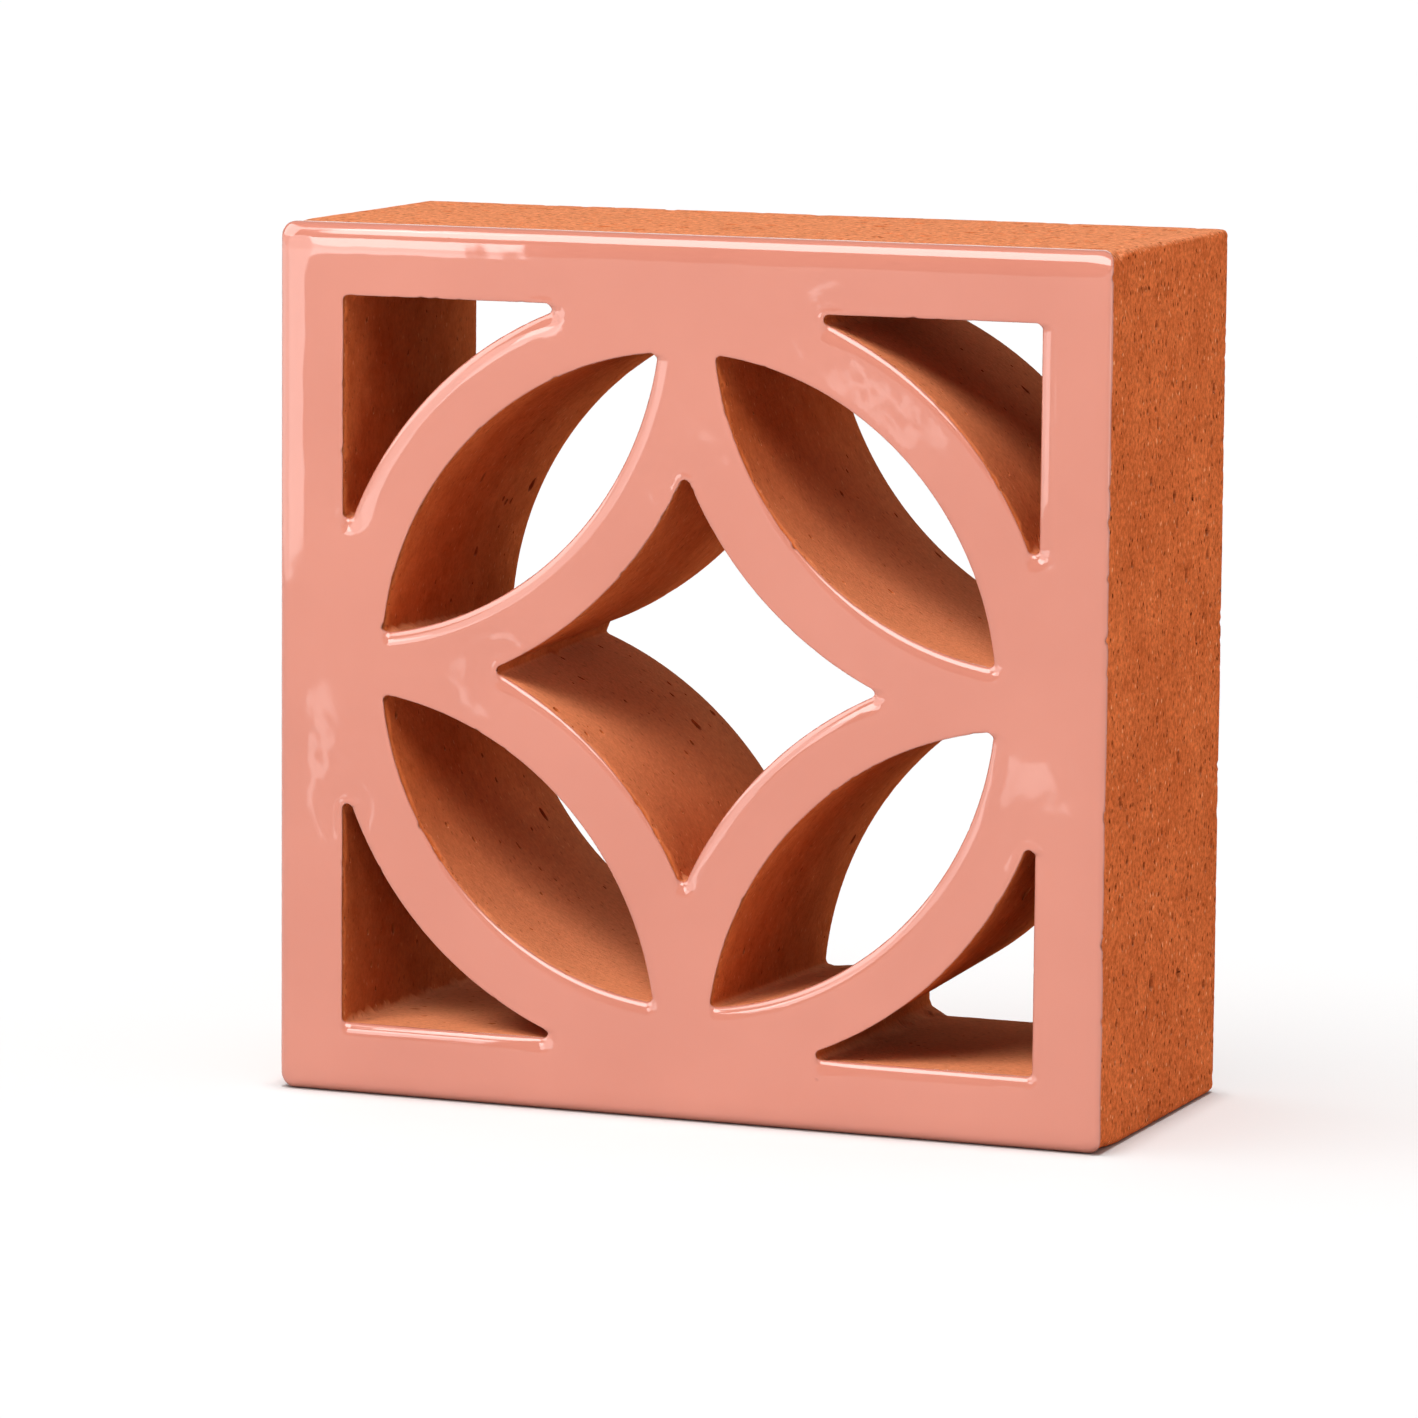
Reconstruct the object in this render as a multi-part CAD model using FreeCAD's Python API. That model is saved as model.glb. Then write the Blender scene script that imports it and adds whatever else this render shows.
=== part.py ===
"""Square screen block of fired clay, glazed on its face and pierced with a ring-and-arcs pattern.

The block stands on its bed face with its glazed face towards -Y. The origin is the
middle of the bed face. A straight frame borders the face. Inside it a ring runs round
the middle of the block, and four arcs swing from the frame's inner corners. Between
them lie nine openings: one star, four petals and four corner spandrels. The openings
go right through and widen towards the back, as they draw off their mould cores.
"""

import FreeCAD
import Part

import math
import os

# Driving dimensions, in millimetres and degrees.
BLOCK_SIDE = 190.0  # width and height of the square face
BLOCK_DEPTH = 80.0  # face to back
FRAME_WIDTH = 15.5  # straight border round the pattern
BAND_WIDTH = 13.2  # ring and arcs, measured across the face
RING_BITE = 4.0  # how far the ring's outer edge runs into the frame
ARC_REACH = 0.6  # how far the arcs' centrelines pass the middles of the frame's inner sides
OPENING_DRAFT = 2.0  # slope of the opening walls, in degrees
TIP_RADIUS = 1.2  # rounding in the pointed and square corners of the openings
OUTLINE_CORNER = 3.0  # the block's four corners, seen from the face
FACE_EDGE = 3.0  # rounding of the glazed face's outer edge
RIM_EDGE = 2.5  # rounding of the openings' rims on the glazed face
BACK_EDGE = 1.5  # rounding of the outer edge at the back
BACK_RIM = 0.8  # bevel of the openings' rims at the back
CUTTER_OVERRUN = 1.0  # how far an opening's cutter runs past the face and the back

# How finely the small roundings are divided, and lengths compared.
SAME_PLACE = 1e-6  # lengths closer than this are the same
RIM_STEPS = 3  # bands across the rounding of a rim
TIP_FLATS = 4  # short flats round the tip of an opening

# Sizes that follow from them.
FACE_Y = -BLOCK_DEPTH / 2
BACK_Y = BLOCK_DEPTH / 2
HALF_SIDE = BLOCK_SIDE / 2
HALF_WINDOW = HALF_SIDE - FRAME_WIDTH  # from the middle of the face to the frame's inner side
RING_OUTER = HALF_WINDOW + RING_BITE
RING_INNER = RING_OUTER - BAND_WIDTH
ARC_CENTRELINE = HALF_WINDOW + ARC_REACH
ARC_OUTER = ARC_CENTRELINE + BAND_WIDTH / 2
ARC_INNER = ARC_CENTRELINE - BAND_WIDTH / 2
WALL_SLOPE = math.tan(math.radians(OPENING_DRAFT))


class LineSide:
    """A straight side of an opening: the points where normal . point = offset.

    The opening lies where normal . point is smaller.
    """

    def __init__(self, normal, offset):
        self.normal = normal
        self.offset = offset

    def foot(self, point, growth):
        """The nearest point to point on this side, once the side has moved out by growth."""
        along = self.normal[0] * point[0] + self.normal[1] * point[1]
        step = self.offset + growth - along
        return point[0] + step * self.normal[0], point[1] + step * self.normal[1]


class ArcSide:
    """A round side of an opening. The opening lies inside the circle, or outside it."""

    def __init__(self, centre, radius, opening_inside):
        self.centre = centre
        self.radius = radius
        self.outward = 1.0 if opening_inside else -1.0

    def grown(self, growth):
        """The radius once the side has moved out of the opening by growth."""
        return self.radius + self.outward * growth

    def foot(self, point, growth):
        """The nearest point to point on this side, once the side has moved out by growth."""
        dx = point[0] - self.centre[0]
        dz = point[1] - self.centre[1]
        scale = self.grown(growth) / math.hypot(dx, dz)
        return self.centre[0] + dx * scale, self.centre[1] + dz * scale


def meet(first, second, inset, near):
    """The point where two sides cross once both have moved into the opening by inset.

    Where there are two such points, the one nearest to near is taken.
    """
    if isinstance(first, LineSide) and isinstance(second, LineSide):
        return meet_lines(first, second, inset)
    if isinstance(first, LineSide):
        first, second = second, first
    if isinstance(second, LineSide):
        found = circle_and_line(first, second, inset)
    else:
        found = circle_and_circle(first, second, inset)
    return min(found, key=lambda point: math.hypot(point[0] - near[0], point[1] - near[1]))


def meet_lines(first, second, inset):
    """The crossing of two straight sides, both moved in by inset."""
    determinant = first.normal[0] * second.normal[1] - first.normal[1] * second.normal[0]
    a = first.offset - inset
    b = second.offset - inset
    x = (a * second.normal[1] - b * first.normal[1]) / determinant
    z = (b * first.normal[0] - a * second.normal[0]) / determinant
    return x, z


def circle_and_line(arc, line, inset):
    """The two crossings of a round side and a straight side, both moved in by inset."""
    radius = arc.grown(-inset)
    foot = line.foot(arc.centre, -inset)
    gap = math.hypot(foot[0] - arc.centre[0], foot[1] - arc.centre[1])
    half_chord = math.sqrt(radius**2 - gap**2)
    along = (-line.normal[1], line.normal[0])
    return [(foot[0] + s * half_chord * along[0], foot[1] + s * half_chord * along[1]) for s in (-1, 1)]


def circle_and_circle(first, second, inset):
    """The two crossings of two round sides, both moved in by inset."""
    r1 = first.grown(-inset)
    r2 = second.grown(-inset)
    dx = second.centre[0] - first.centre[0]
    dz = second.centre[1] - first.centre[1]
    gap = math.hypot(dx, dz)
    reach = (gap**2 + r1**2 - r2**2) / (2 * gap)
    half_chord = math.sqrt(r1**2 - reach**2)
    foot = (first.centre[0] + reach * dx / gap, first.centre[1] + reach * dz / gap)
    return [(foot[0] - s * half_chord * dz / gap, foot[1] + s * half_chord * dx / gap) for s in (-1, 1)]


def on_face(point, y):
    """A point of the face pattern, in the block's own frame, at depth y."""
    return FreeCAD.Vector(point[0], y, HALF_SIDE + point[1])


def toward(centre, through, radius):
    """The point at radius from centre, in the direction of through."""
    dx = through[0] - centre[0]
    dz = through[1] - centre[1]
    scale = radius / math.hypot(dx, dz)
    return centre[0] + dx * scale, centre[1] + dz * scale


def side_edge(side, start, end, y):
    """One side of an opening as an edge at depth y."""
    if isinstance(side, LineSide):
        return Part.makeLine(on_face(start, y), on_face(end, y))
    chord_middle = ((start[0] + end[0]) / 2, (start[1] + end[1]) / 2)
    radius = math.hypot(start[0] - side.centre[0], start[1] - side.centre[1])
    middle = toward(side.centre, chord_middle, radius)
    return Part.Arc(on_face(start, y), on_face(middle, y), on_face(end, y)).toShape()


def tip_points(centre, start, end):
    """Points round an opening's corner, from one side to the next, about the rounding's centre."""
    radius = math.hypot(start[0] - centre[0], start[1] - centre[1])
    from_angle = math.atan2(start[1] - centre[1], start[0] - centre[0])
    to_angle = math.atan2(end[1] - centre[1], end[0] - centre[0])
    turn = math.remainder(to_angle - from_angle, 2 * math.pi)
    angles = [from_angle + turn * step / TIP_FLATS for step in range(1, TIP_FLATS)]
    between = [(centre[0] + radius * math.cos(a), centre[1] + radius * math.sin(a)) for a in angles]
    return [start] + between + [end]


def outline(sides, corners, y, growth):
    """An opening's closed outline at depth y, with every side moved out by growth.

    corners holds a point for each side: of the places where the side meets the next one,
    the corner is the one nearest to that point. The corner roundings keep their centres as
    the outline grows, so the walls between two outlines are planes and cones.
    """
    count = len(sides)
    centres = [meet(sides[i], sides[(i + 1) % count], TIP_RADIUS, corners[i]) for i in range(count)]
    edges = []
    for i, side in enumerate(sides):
        following = sides[(i + 1) % count]
        start = side.foot(centres[i - 1], growth)
        end = side.foot(centres[i], growth)
        edges.append(side_edge(side, start, end, y))
        tip = tip_points(centres[i], end, following.foot(centres[i], growth))
        edges += [Part.makeLine(on_face(a, y), on_face(b, y)) for a, b in zip(tip, tip[1:])]
    return Part.Wire(edges)


def wall_profile():
    """Depth and growth of an opening at each place where the slope of its walls changes.

    From the face inwards: a straight mouth in front of the face, the rounding of the rim,
    the drafted wall, the bevel at the back and a straight mouth behind it.
    """
    profile = [(FACE_Y - CUTTER_OVERRUN, RIM_EDGE)]
    for step in range(RIM_STEPS + 1):
        turn = math.pi / 2 * step / RIM_STEPS
        profile.append((FACE_Y + RIM_EDGE * (1 - math.cos(turn)), RIM_EDGE * (1 - math.sin(turn))))
    bevel_y = BACK_Y - BACK_RIM
    growth = (bevel_y - FACE_Y - RIM_EDGE) * WALL_SLOPE
    profile.append((bevel_y, growth))
    profile.append((BACK_Y, growth + BACK_RIM))
    profile.append((BACK_Y + CUTTER_OVERRUN, growth + BACK_RIM))
    return profile


def opening_cutter(sides, corners):
    """The solid that cuts one opening, from before the face to behind the back."""
    sections = [outline(sides, corners, y, growth) for y, growth in wall_profile()]
    return Part.makeLoft(sections, True, True)


def star_opening():
    """The four-pointed opening in the middle, between the four arcs."""
    ends = [(1, 1), (-1, 1), (-1, -1), (1, -1)]
    sides = [ArcSide((sx * HALF_WINDOW, sz * HALF_WINDOW), ARC_OUTER, False) for sx, sz in ends]
    middle = (0, 0)
    return opening_cutter(sides, [middle] * len(sides))


def petal_opening(sx, sz):
    """The pointed opening between the ring and one arc, in the quarter given by the signs."""
    ring = ArcSide((0, 0), RING_INNER, True)
    arc = ArcSide((sx * HALF_WINDOW, sz * HALF_WINDOW), ARC_INNER, True)
    return opening_cutter([ring, arc], [(0, sz * RING_INNER), (sx * RING_INNER, 0)])


def corner_opening(sx, sz):
    """The opening between the ring and one corner of the frame."""
    upright = LineSide((sx, 0), HALF_WINDOW)
    level = LineSide((0, sz), HALF_WINDOW)
    ring = ArcSide((0, 0), RING_OUTER, False)
    frame_corner = (sx * HALF_WINDOW, sz * HALF_WINDOW)
    sides = [upright, level, ring]
    return opening_cutter(sides, [frame_corner] * len(sides))


def openings():
    """The cutters of all nine openings."""
    quarters = [(sx, sz) for sx in (-1, 1) for sz in (-1, 1)]
    cutters = [star_opening()]
    for sx, sz in quarters:
        cutters.append(petal_opening(sx, sz))
        cutters.append(corner_opening(sx, sz))
    return cutters


def edges_at_depth(shape, y):
    """The edges of shape that lie in the plane at depth y."""
    return [e for e in shape.Edges if max(abs(e.BoundBox.YMin - y), abs(e.BoundBox.YMax - y)) < SAME_PLACE]


def plain_block():
    """The block before it is pierced, with its outer edges rounded."""
    block = Part.makeBox(BLOCK_SIDE, BLOCK_DEPTH, BLOCK_SIDE, FreeCAD.Vector(-HALF_SIDE, FACE_Y, 0))
    depth_edges = [e for e in block.Edges if abs(e.BoundBox.YLength - BLOCK_DEPTH) < SAME_PLACE]
    block = block.makeFillet(OUTLINE_CORNER, depth_edges)
    block = block.makeFillet(BACK_EDGE, edges_at_depth(block, BACK_Y))
    return block.makeFillet(FACE_EDGE, edges_at_depth(block, FACE_Y))


def screen_block():
    """The whole block as one solid."""
    return plain_block().cut(openings())


def main():
    os.makedirs("parts", exist_ok=True)
    block = screen_block().Solids[0]
    block.exportStep("parts/screen_block.step")
    print("valid", block.isValid(), "faces", len(block.Faces), "volume cm3", round(block.Volume / 1000, 1))


main()
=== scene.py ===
# %% [markdown]
# # A glazed screen block
# The block is one piece of fired clay. Clay is pressed round nine mould cores, dried, glazed on its face
# and fired, so the openings have plain clay walls and the face has a glassy salmon coat that rolls over
# every edge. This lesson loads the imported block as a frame, then builds two skins over it: the clay and
# the coat of glaze. All lengths below are in millimetres until the last moment.

# %% Load the frame
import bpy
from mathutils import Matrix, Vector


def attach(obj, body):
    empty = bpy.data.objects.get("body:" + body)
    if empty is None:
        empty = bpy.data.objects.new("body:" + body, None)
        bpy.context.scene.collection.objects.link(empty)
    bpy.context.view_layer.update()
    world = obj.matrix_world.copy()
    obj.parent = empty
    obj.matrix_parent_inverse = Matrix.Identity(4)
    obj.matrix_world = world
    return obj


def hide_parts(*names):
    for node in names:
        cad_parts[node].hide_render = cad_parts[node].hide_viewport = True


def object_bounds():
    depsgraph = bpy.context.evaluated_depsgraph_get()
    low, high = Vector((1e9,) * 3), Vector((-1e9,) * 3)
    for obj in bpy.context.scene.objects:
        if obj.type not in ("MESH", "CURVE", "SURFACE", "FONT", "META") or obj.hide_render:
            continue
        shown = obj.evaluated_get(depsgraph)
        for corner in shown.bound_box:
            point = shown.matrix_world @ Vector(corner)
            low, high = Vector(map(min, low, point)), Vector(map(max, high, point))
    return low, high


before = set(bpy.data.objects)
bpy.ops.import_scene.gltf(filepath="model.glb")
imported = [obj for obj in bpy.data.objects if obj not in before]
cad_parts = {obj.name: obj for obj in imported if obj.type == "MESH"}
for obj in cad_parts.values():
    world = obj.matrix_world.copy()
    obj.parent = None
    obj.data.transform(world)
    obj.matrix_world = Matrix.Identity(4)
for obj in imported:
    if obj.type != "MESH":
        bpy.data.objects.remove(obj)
cad_low, cad_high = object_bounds()
print("frame box in metres", tuple(cad_low), tuple(cad_high))

# %% Modules that the lesson uses
import math

import bmesh
import bpy
import numpy as np
from mathutils import Matrix, Vector, kdtree, noise
from mathutils.geometry import delaunay_2d_cdt

print("Blender", bpy.app.version_string)

# %% [markdown]
# ## The camera
# The photograph was taken with a long lens from the front, a little to the right and a little above. A
# long lens keeps upright edges almost parallel. The camera comes first, because every later choice is
# judged through it. Its place and its three turns were fitted to the photograph, and a matrix is made of
# its own axes.

# %% Camera
IMAGE_PIXELS = 1418
FOCAL_PIXELS = 7407
SENSOR_WIDTH = 36.0
CAMERA_PLACE = Vector((0.5803, -1.4901, 0.3021))
CAMERA_YAW = math.radians(21.60)
CAMERA_PITCH = math.radians(-7.76)
CAMERA_ROLL = math.radians(0.49)


def camera_axes(yaw, pitch, roll):
    """The camera's right, up and backward directions."""
    forward = Vector((-math.sin(yaw) * math.cos(pitch), math.cos(yaw) * math.cos(pitch), math.sin(pitch)))
    level_right = Vector((math.cos(yaw), math.sin(yaw), 0))
    level_up = level_right.cross(forward)
    right = math.cos(roll) * level_right + math.sin(roll) * level_up
    up = math.cos(roll) * level_up - math.sin(roll) * level_right
    return right, up, -forward


camera_data = bpy.data.cameras.new("front_camera")
camera_data.sensor_width = SENSOR_WIDTH
camera_data.lens = FOCAL_PIXELS / IMAGE_PIXELS * SENSOR_WIDTH
camera = bpy.data.objects.new("front_camera", camera_data)
camera_turn = Matrix(camera_axes(CAMERA_YAW, CAMERA_PITCH, CAMERA_ROLL)).transposed()
camera.matrix_world = Matrix.Translation(CAMERA_PLACE) @ camera_turn.to_4x4()
bpy.context.scene.collection.objects.link(camera)
bpy.context.scene.camera = camera
print("lens in millimetres", round(camera_data.lens, 1))

# %% [markdown]
# ## The pattern
# The openings are drawn with straight sides and arcs: a ring about the middle of the face, four arcs
# about the inner corners of the frame, and the frame itself. Outlines could be traced by hand, but a
# few radii say the same with no error, and the walls and rims can then be grown from one outline.

# %% Sizes of the pattern
MM = 0.001
BLOCK_SIDE = (cad_high.x - cad_low.x) / MM
BLOCK_DEPTH = (cad_high.y - cad_low.y) / MM
HALF_SIDE = BLOCK_SIDE / 2
FACE_Y = cad_low.y / MM
FRAME_WIDTH = 15.5
BAND_WIDTH = 13.2
RING_BITE = 4.0
ARC_REACH = 0.6
TIP_RADIUS = 1.2
WALL_SLOPE = math.tan(math.radians(2.0))
HALF_WINDOW = HALF_SIDE - FRAME_WIDTH
RING_OUTER = HALF_WINDOW + RING_BITE
RING_INNER = RING_OUTER - BAND_WIDTH
ARC_OUTER = HALF_WINDOW + ARC_REACH + BAND_WIDTH / 2
ARC_INNER = ARC_OUTER - BAND_WIDTH
print("window half width", HALF_WINDOW, "ring", RING_INNER, "to", RING_OUTER)

# %% Sides of an opening


class StraightSide:
    """A straight side of an opening: normal . point = offset, with the opening on the smaller side."""

    def __init__(self, normal, offset):
        self.normal = np.array(normal, float)
        self.offset = offset

    def past(self, point):
        """How far a point lies beyond this side, out of the opening."""
        return self.normal @ point - self.offset

    def outward(self, point):
        return self.normal

    def moved(self, growth):
        """The same side, moved out of the opening by growth."""
        return StraightSide(self.normal, self.offset + growth)

    def length(self, start, end):
        return np.linalg.norm(end - start)

    def trace(self, start, end, steps):
        """Points from start to end along the side."""
        return start + np.linspace(0, 1, steps + 1)[:, None] * (end - start)


class RoundSide:
    """A side on a circle, with the opening inside the circle or outside it."""

    def __init__(self, centre, radius, opening_inside):
        self.centre = np.array(centre, float)
        self.radius = radius
        self.sign = 1.0 if opening_inside else -1.0

    def past(self, point):
        """How far a point lies beyond this side, out of the opening."""
        return self.sign * (np.linalg.norm(point - self.centre) - self.radius)

    def outward(self, point):
        return self.sign * (point - self.centre) / np.linalg.norm(point - self.centre)

    def moved(self, growth):
        """The same side, moved out of the opening by growth."""
        return RoundSide(self.centre, self.radius + self.sign * growth, self.sign > 0)

    def turn(self, start, end):
        """The angle at which the side starts, and how far it turns to its end, the short way."""
        first = math.atan2(*(start - self.centre)[::-1])
        return first, math.remainder(math.atan2(*(end - self.centre)[::-1]) - first, 2 * math.pi)

    def length(self, start, end):
        return abs(self.turn(start, end)[1]) * self.radius

    def trace(self, start, end, steps):
        """Points from start to end round the circle."""
        first, turn = self.turn(start, end)
        angles = first + turn * np.linspace(0, 1, steps + 1)
        return self.centre + self.radius * np.stack([np.cos(angles), np.sin(angles)], 1)


NEWTON_STEPS = 20


def corner_centre(first, second, near, radius):
    """The middle of the rounding between two sides: a radius inside both, found by Newton's steps."""
    centre = np.array(near, float)
    for _ in range(NEWTON_STEPS):
        slopes = np.array([first.outward(centre), second.outward(centre)])
        misses = np.array([first.past(centre), second.past(centre)]) + radius
        centre -= np.linalg.solve(slopes, misses)
    return centre


ring_inside = RoundSide((0, 0), RING_INNER, True)
quarter_ends = np.array([[RING_INNER, 0.0], [0.0, RING_INNER]])
print("a quarter of the ring is", round(ring_inside.length(*quarter_ends), 1), "long")

# %% Outlines
TIP_STEPS = 8
BACK_GROWTH = WALL_SLOPE * BLOCK_DEPTH


class Opening:
    """An opening, drawn on the face and again at the back, where its walls have moved apart.

    corners holds a place near each corner, and how fast its rounding swells as the walls move:
    0 keeps the corner as sharp at the back, and 1 keeps the middle of the rounding in its place.
    At each point of the outline, into leads from the opening into the clay.
    """

    def __init__(self, sides, corners, spacing):
        self.spacing = spacing
        self.steps = []
        self.points, self.into, self.tips = self.drawn(sides, corners, 0.0)
        moved = [side.moved(BACK_GROWTH) for side in sides]
        self.back_points, self.back_into, _ = self.drawn(moved, corners, BACK_GROWTH)
        edges = [[True] + [False] * (steps - 1) + [True] * TIP_STEPS for steps in self.steps]
        self.at_tip = np.concatenate(edges)
        gaps = np.linalg.norm(np.roll(self.points, -1, 0) - self.points, axis=1)
        self.along = np.concatenate([[0], np.cumsum(gaps)])
        self.length = self.along[-1]

    def drawn(self, sides, corners, growth):
        """Points round the outline, the directions into the clay there, and the middles of the corners."""
        radii = [TIP_RADIUS + swell * growth for _, swell in corners]
        pairs = zip(sides, sides[1:] + sides[:1], corners, radii)
        centres = [corner_centre(first, second, near, radius) for first, second, (near, _), radius in pairs]
        before = zip(centres[-1:] + centres[:-1], radii[-1:] + radii[:-1], sides)
        starts = [centre + radius * side.outward(centre) for centre, radius, side in before]
        after = zip(centres, radii, sides)
        ends = [centre + radius * side.outward(centre) for centre, radius, side in after]
        if not self.steps:
            lengths = [side.length(start, end) for side, start, end in zip(sides, starts, ends)]
            self.steps = [max(2, math.ceil(length / self.spacing)) for length in lengths]
        points = []
        into = []
        for i, side in enumerate(sides):
            along = side.trace(starts[i], ends[i], self.steps[i])
            points += list(along)
            into += [side.outward(p) for p in along]
            following = sides[(i + 1) % len(sides)]
            first = math.atan2(*side.outward(centres[i])[::-1])
            last = math.atan2(*following.outward(centres[i])[::-1])
            turn = math.remainder(last - first, 2 * math.pi)
            angles = first + turn * np.arange(1, TIP_STEPS) / TIP_STEPS
            directions = np.stack([np.cos(angles), np.sin(angles)], 1)
            points += list(centres[i] + radii[i] * directions)
            into += list(directions)
        return np.array(points), np.array(into), centres

    def at(self, growth):
        """The face's outline, grown into the clay by growth: one number, or one for each point."""
        return self.points + np.reshape(growth, (-1, 1)) * self.into

    def spread(self, values, along):
        """Values of the outline's points, at any lengths along it."""
        closed = np.vstack([values, values[:1]])
        return np.stack([np.interp(along, self.along, column) for column in closed.T], 1)

    def between(self, along, share, out):
        """Points of the wall at lengths along it, and the directions into the clay there.

        share is 0 on the face's outline and 1 on the back's, and out moves a point into the clay.
        """
        share = np.reshape(share, (-1, 1))
        here = (1 - share) * self.spread(self.points, along) + share * self.spread(self.back_points, along)
        lead = (1 - share) * self.spread(self.into, along) + share * self.spread(self.back_into, along)
        lead /= np.linalg.norm(lead, axis=1)[:, None]
        return here + np.reshape(out, (-1, 1)) * lead, lead


QUARTERS = [(sx, sz) for sx in (-1, 1) for sz in (-1, 1)]
TIP_ON_FRAME = math.sqrt(RING_OUTER**2 - HALF_WINDOW**2)
STAR_REACH = HALF_WINDOW - math.sqrt(ARC_OUTER**2 - HALF_WINDOW**2)


def star_opening(spacing):
    """The four-pointed opening in the middle."""
    ends = [(1, 1), (-1, 1), (-1, -1), (1, -1)]
    sides = [RoundSide((sx * HALF_WINDOW, sz * HALF_WINDOW), ARC_OUTER, False) for sx, sz in ends]
    tips = [(0, STAR_REACH), (-STAR_REACH, 0), (0, -STAR_REACH), (STAR_REACH, 0)]
    return Opening(sides, [(tip, 0.0) for tip in tips], spacing)


def petal_opening(sx, sz, spacing):
    """The pointed opening between the ring and one arc."""
    ring = RoundSide((0, 0), RING_INNER, True)
    arc = RoundSide((sx * HALF_WINDOW, sz * HALF_WINDOW), ARC_INNER, True)
    corners = [((0, sz * RING_INNER), 0.0), ((sx * RING_INNER, 0), 0.0)]
    return Opening([ring, arc], corners, spacing)


def corner_opening(sx, sz, spacing):
    """The opening between the ring and one corner of the frame."""
    upright = StraightSide((sx, 0), HALF_WINDOW)
    level = StraightSide((0, sz), HALF_WINDOW)
    ring = RoundSide((0, 0), RING_OUTER, False)
    corners = [
        ((sx * HALF_WINDOW, sz * HALF_WINDOW), 0.0),
        ((sx * TIP_ON_FRAME, sz * HALF_WINDOW), 1.0),
        ((sx * HALF_WINDOW, sz * TIP_ON_FRAME), 1.0),
    ]
    return Opening([upright, level, ring], corners, spacing)


def all_openings(spacing):
    """The nine openings of the pattern."""
    found = [star_opening(spacing)]
    for sx, sz in QUARTERS:
        found.append(petal_opening(sx, sz, spacing))
        found.append(corner_opening(sx, sz, spacing))
    return found


print("rim lengths", [round(o.length) for o in all_openings(1.0)])

# %% The block's own outline
CORNER_STEPS = 12
DRAWN_CORNER = 3.0  # corner radius on which lengths along the outline are counted


class BlockOutline:
    """The rounded square round the block. Its into directions lead into the clay too."""

    def __init__(self, spacing):
        straight = HALF_SIDE - DRAWN_CORNER
        bend = DRAWN_CORNER * math.pi / 2
        steps = math.ceil(straight / spacing)
        half = np.linspace(0, straight, steps + 1)
        corner = straight + bend * np.linspace(0, 1, CORNER_STEPS + 1)[1:]
        quarter = np.concatenate([half, corner, straight + bend + half[1:-1]])
        self.quarter_length = 2 * straight + bend
        self.length = 4 * self.quarter_length
        self.along = np.concatenate([quarter + k * self.quarter_length for k in range(4)] + [[self.length]])
        bends = np.abs(np.mod(self.along[:-1], self.quarter_length) - straight - bend / 2)
        self.at_tip = bends < bend / 2 + 0.01

    def between(self, along, growth, corner=DRAWN_CORNER):
        """Points of the outline, moved in by growth, with corners of the given radius."""
        straight = HALF_SIDE - DRAWN_CORNER
        bend = DRAWN_CORNER * math.pi / 2
        along = np.mod(along, self.length)
        turn = np.floor(along / self.quarter_length)
        here = along - turn * self.quarter_length
        half = HALF_SIDE - growth + 0 * here
        corner = corner + 0 * here
        angle = np.clip((here - straight) / DRAWN_CORNER, 0, math.pi / 2)
        before = np.clip(here / straight, 0, 1) * (half - corner)
        after = np.clip((here - straight - bend) / straight, 0, 1) * (half - corner)
        x = half - corner + corner * np.cos(angle) - after
        z = before + corner * np.sin(angle)
        lead = np.stack([-np.cos(angle), -np.sin(angle)], 1)
        cos = np.cos(turn * math.pi / 2)
        sin = np.sin(turn * math.pi / 2)
        points = np.stack([x * cos - z * sin, x * sin + z * cos], 1)
        into = np.stack([lead[:, 0] * cos - lead[:, 1] * sin, lead[:, 0] * sin + lead[:, 1] * cos], 1)
        return points, into

    def at(self, growth, corner=DRAWN_CORNER):
        return self.between(self.along[:-1], growth, corner)[0]


print("length round the block", round(BlockOutline(1.0).length, 1))

# %% [markdown]
# ## Skins
# A skin is a list of vertices and faces that grows sheet by sheet. Rims become strips of quads between
# rows of points. Flat faces and walls are filled with triangles by a constrained triangulation, which
# takes any scatter of points and keeps the edges that it is given. Neighbouring sheets share the vertices
# of the row between them, so the finished mesh is closed. A Boolean of primitives would be shorter, but
# its long thin triangles can't carry pits, chips or waves.

# %% Skin builder


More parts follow.
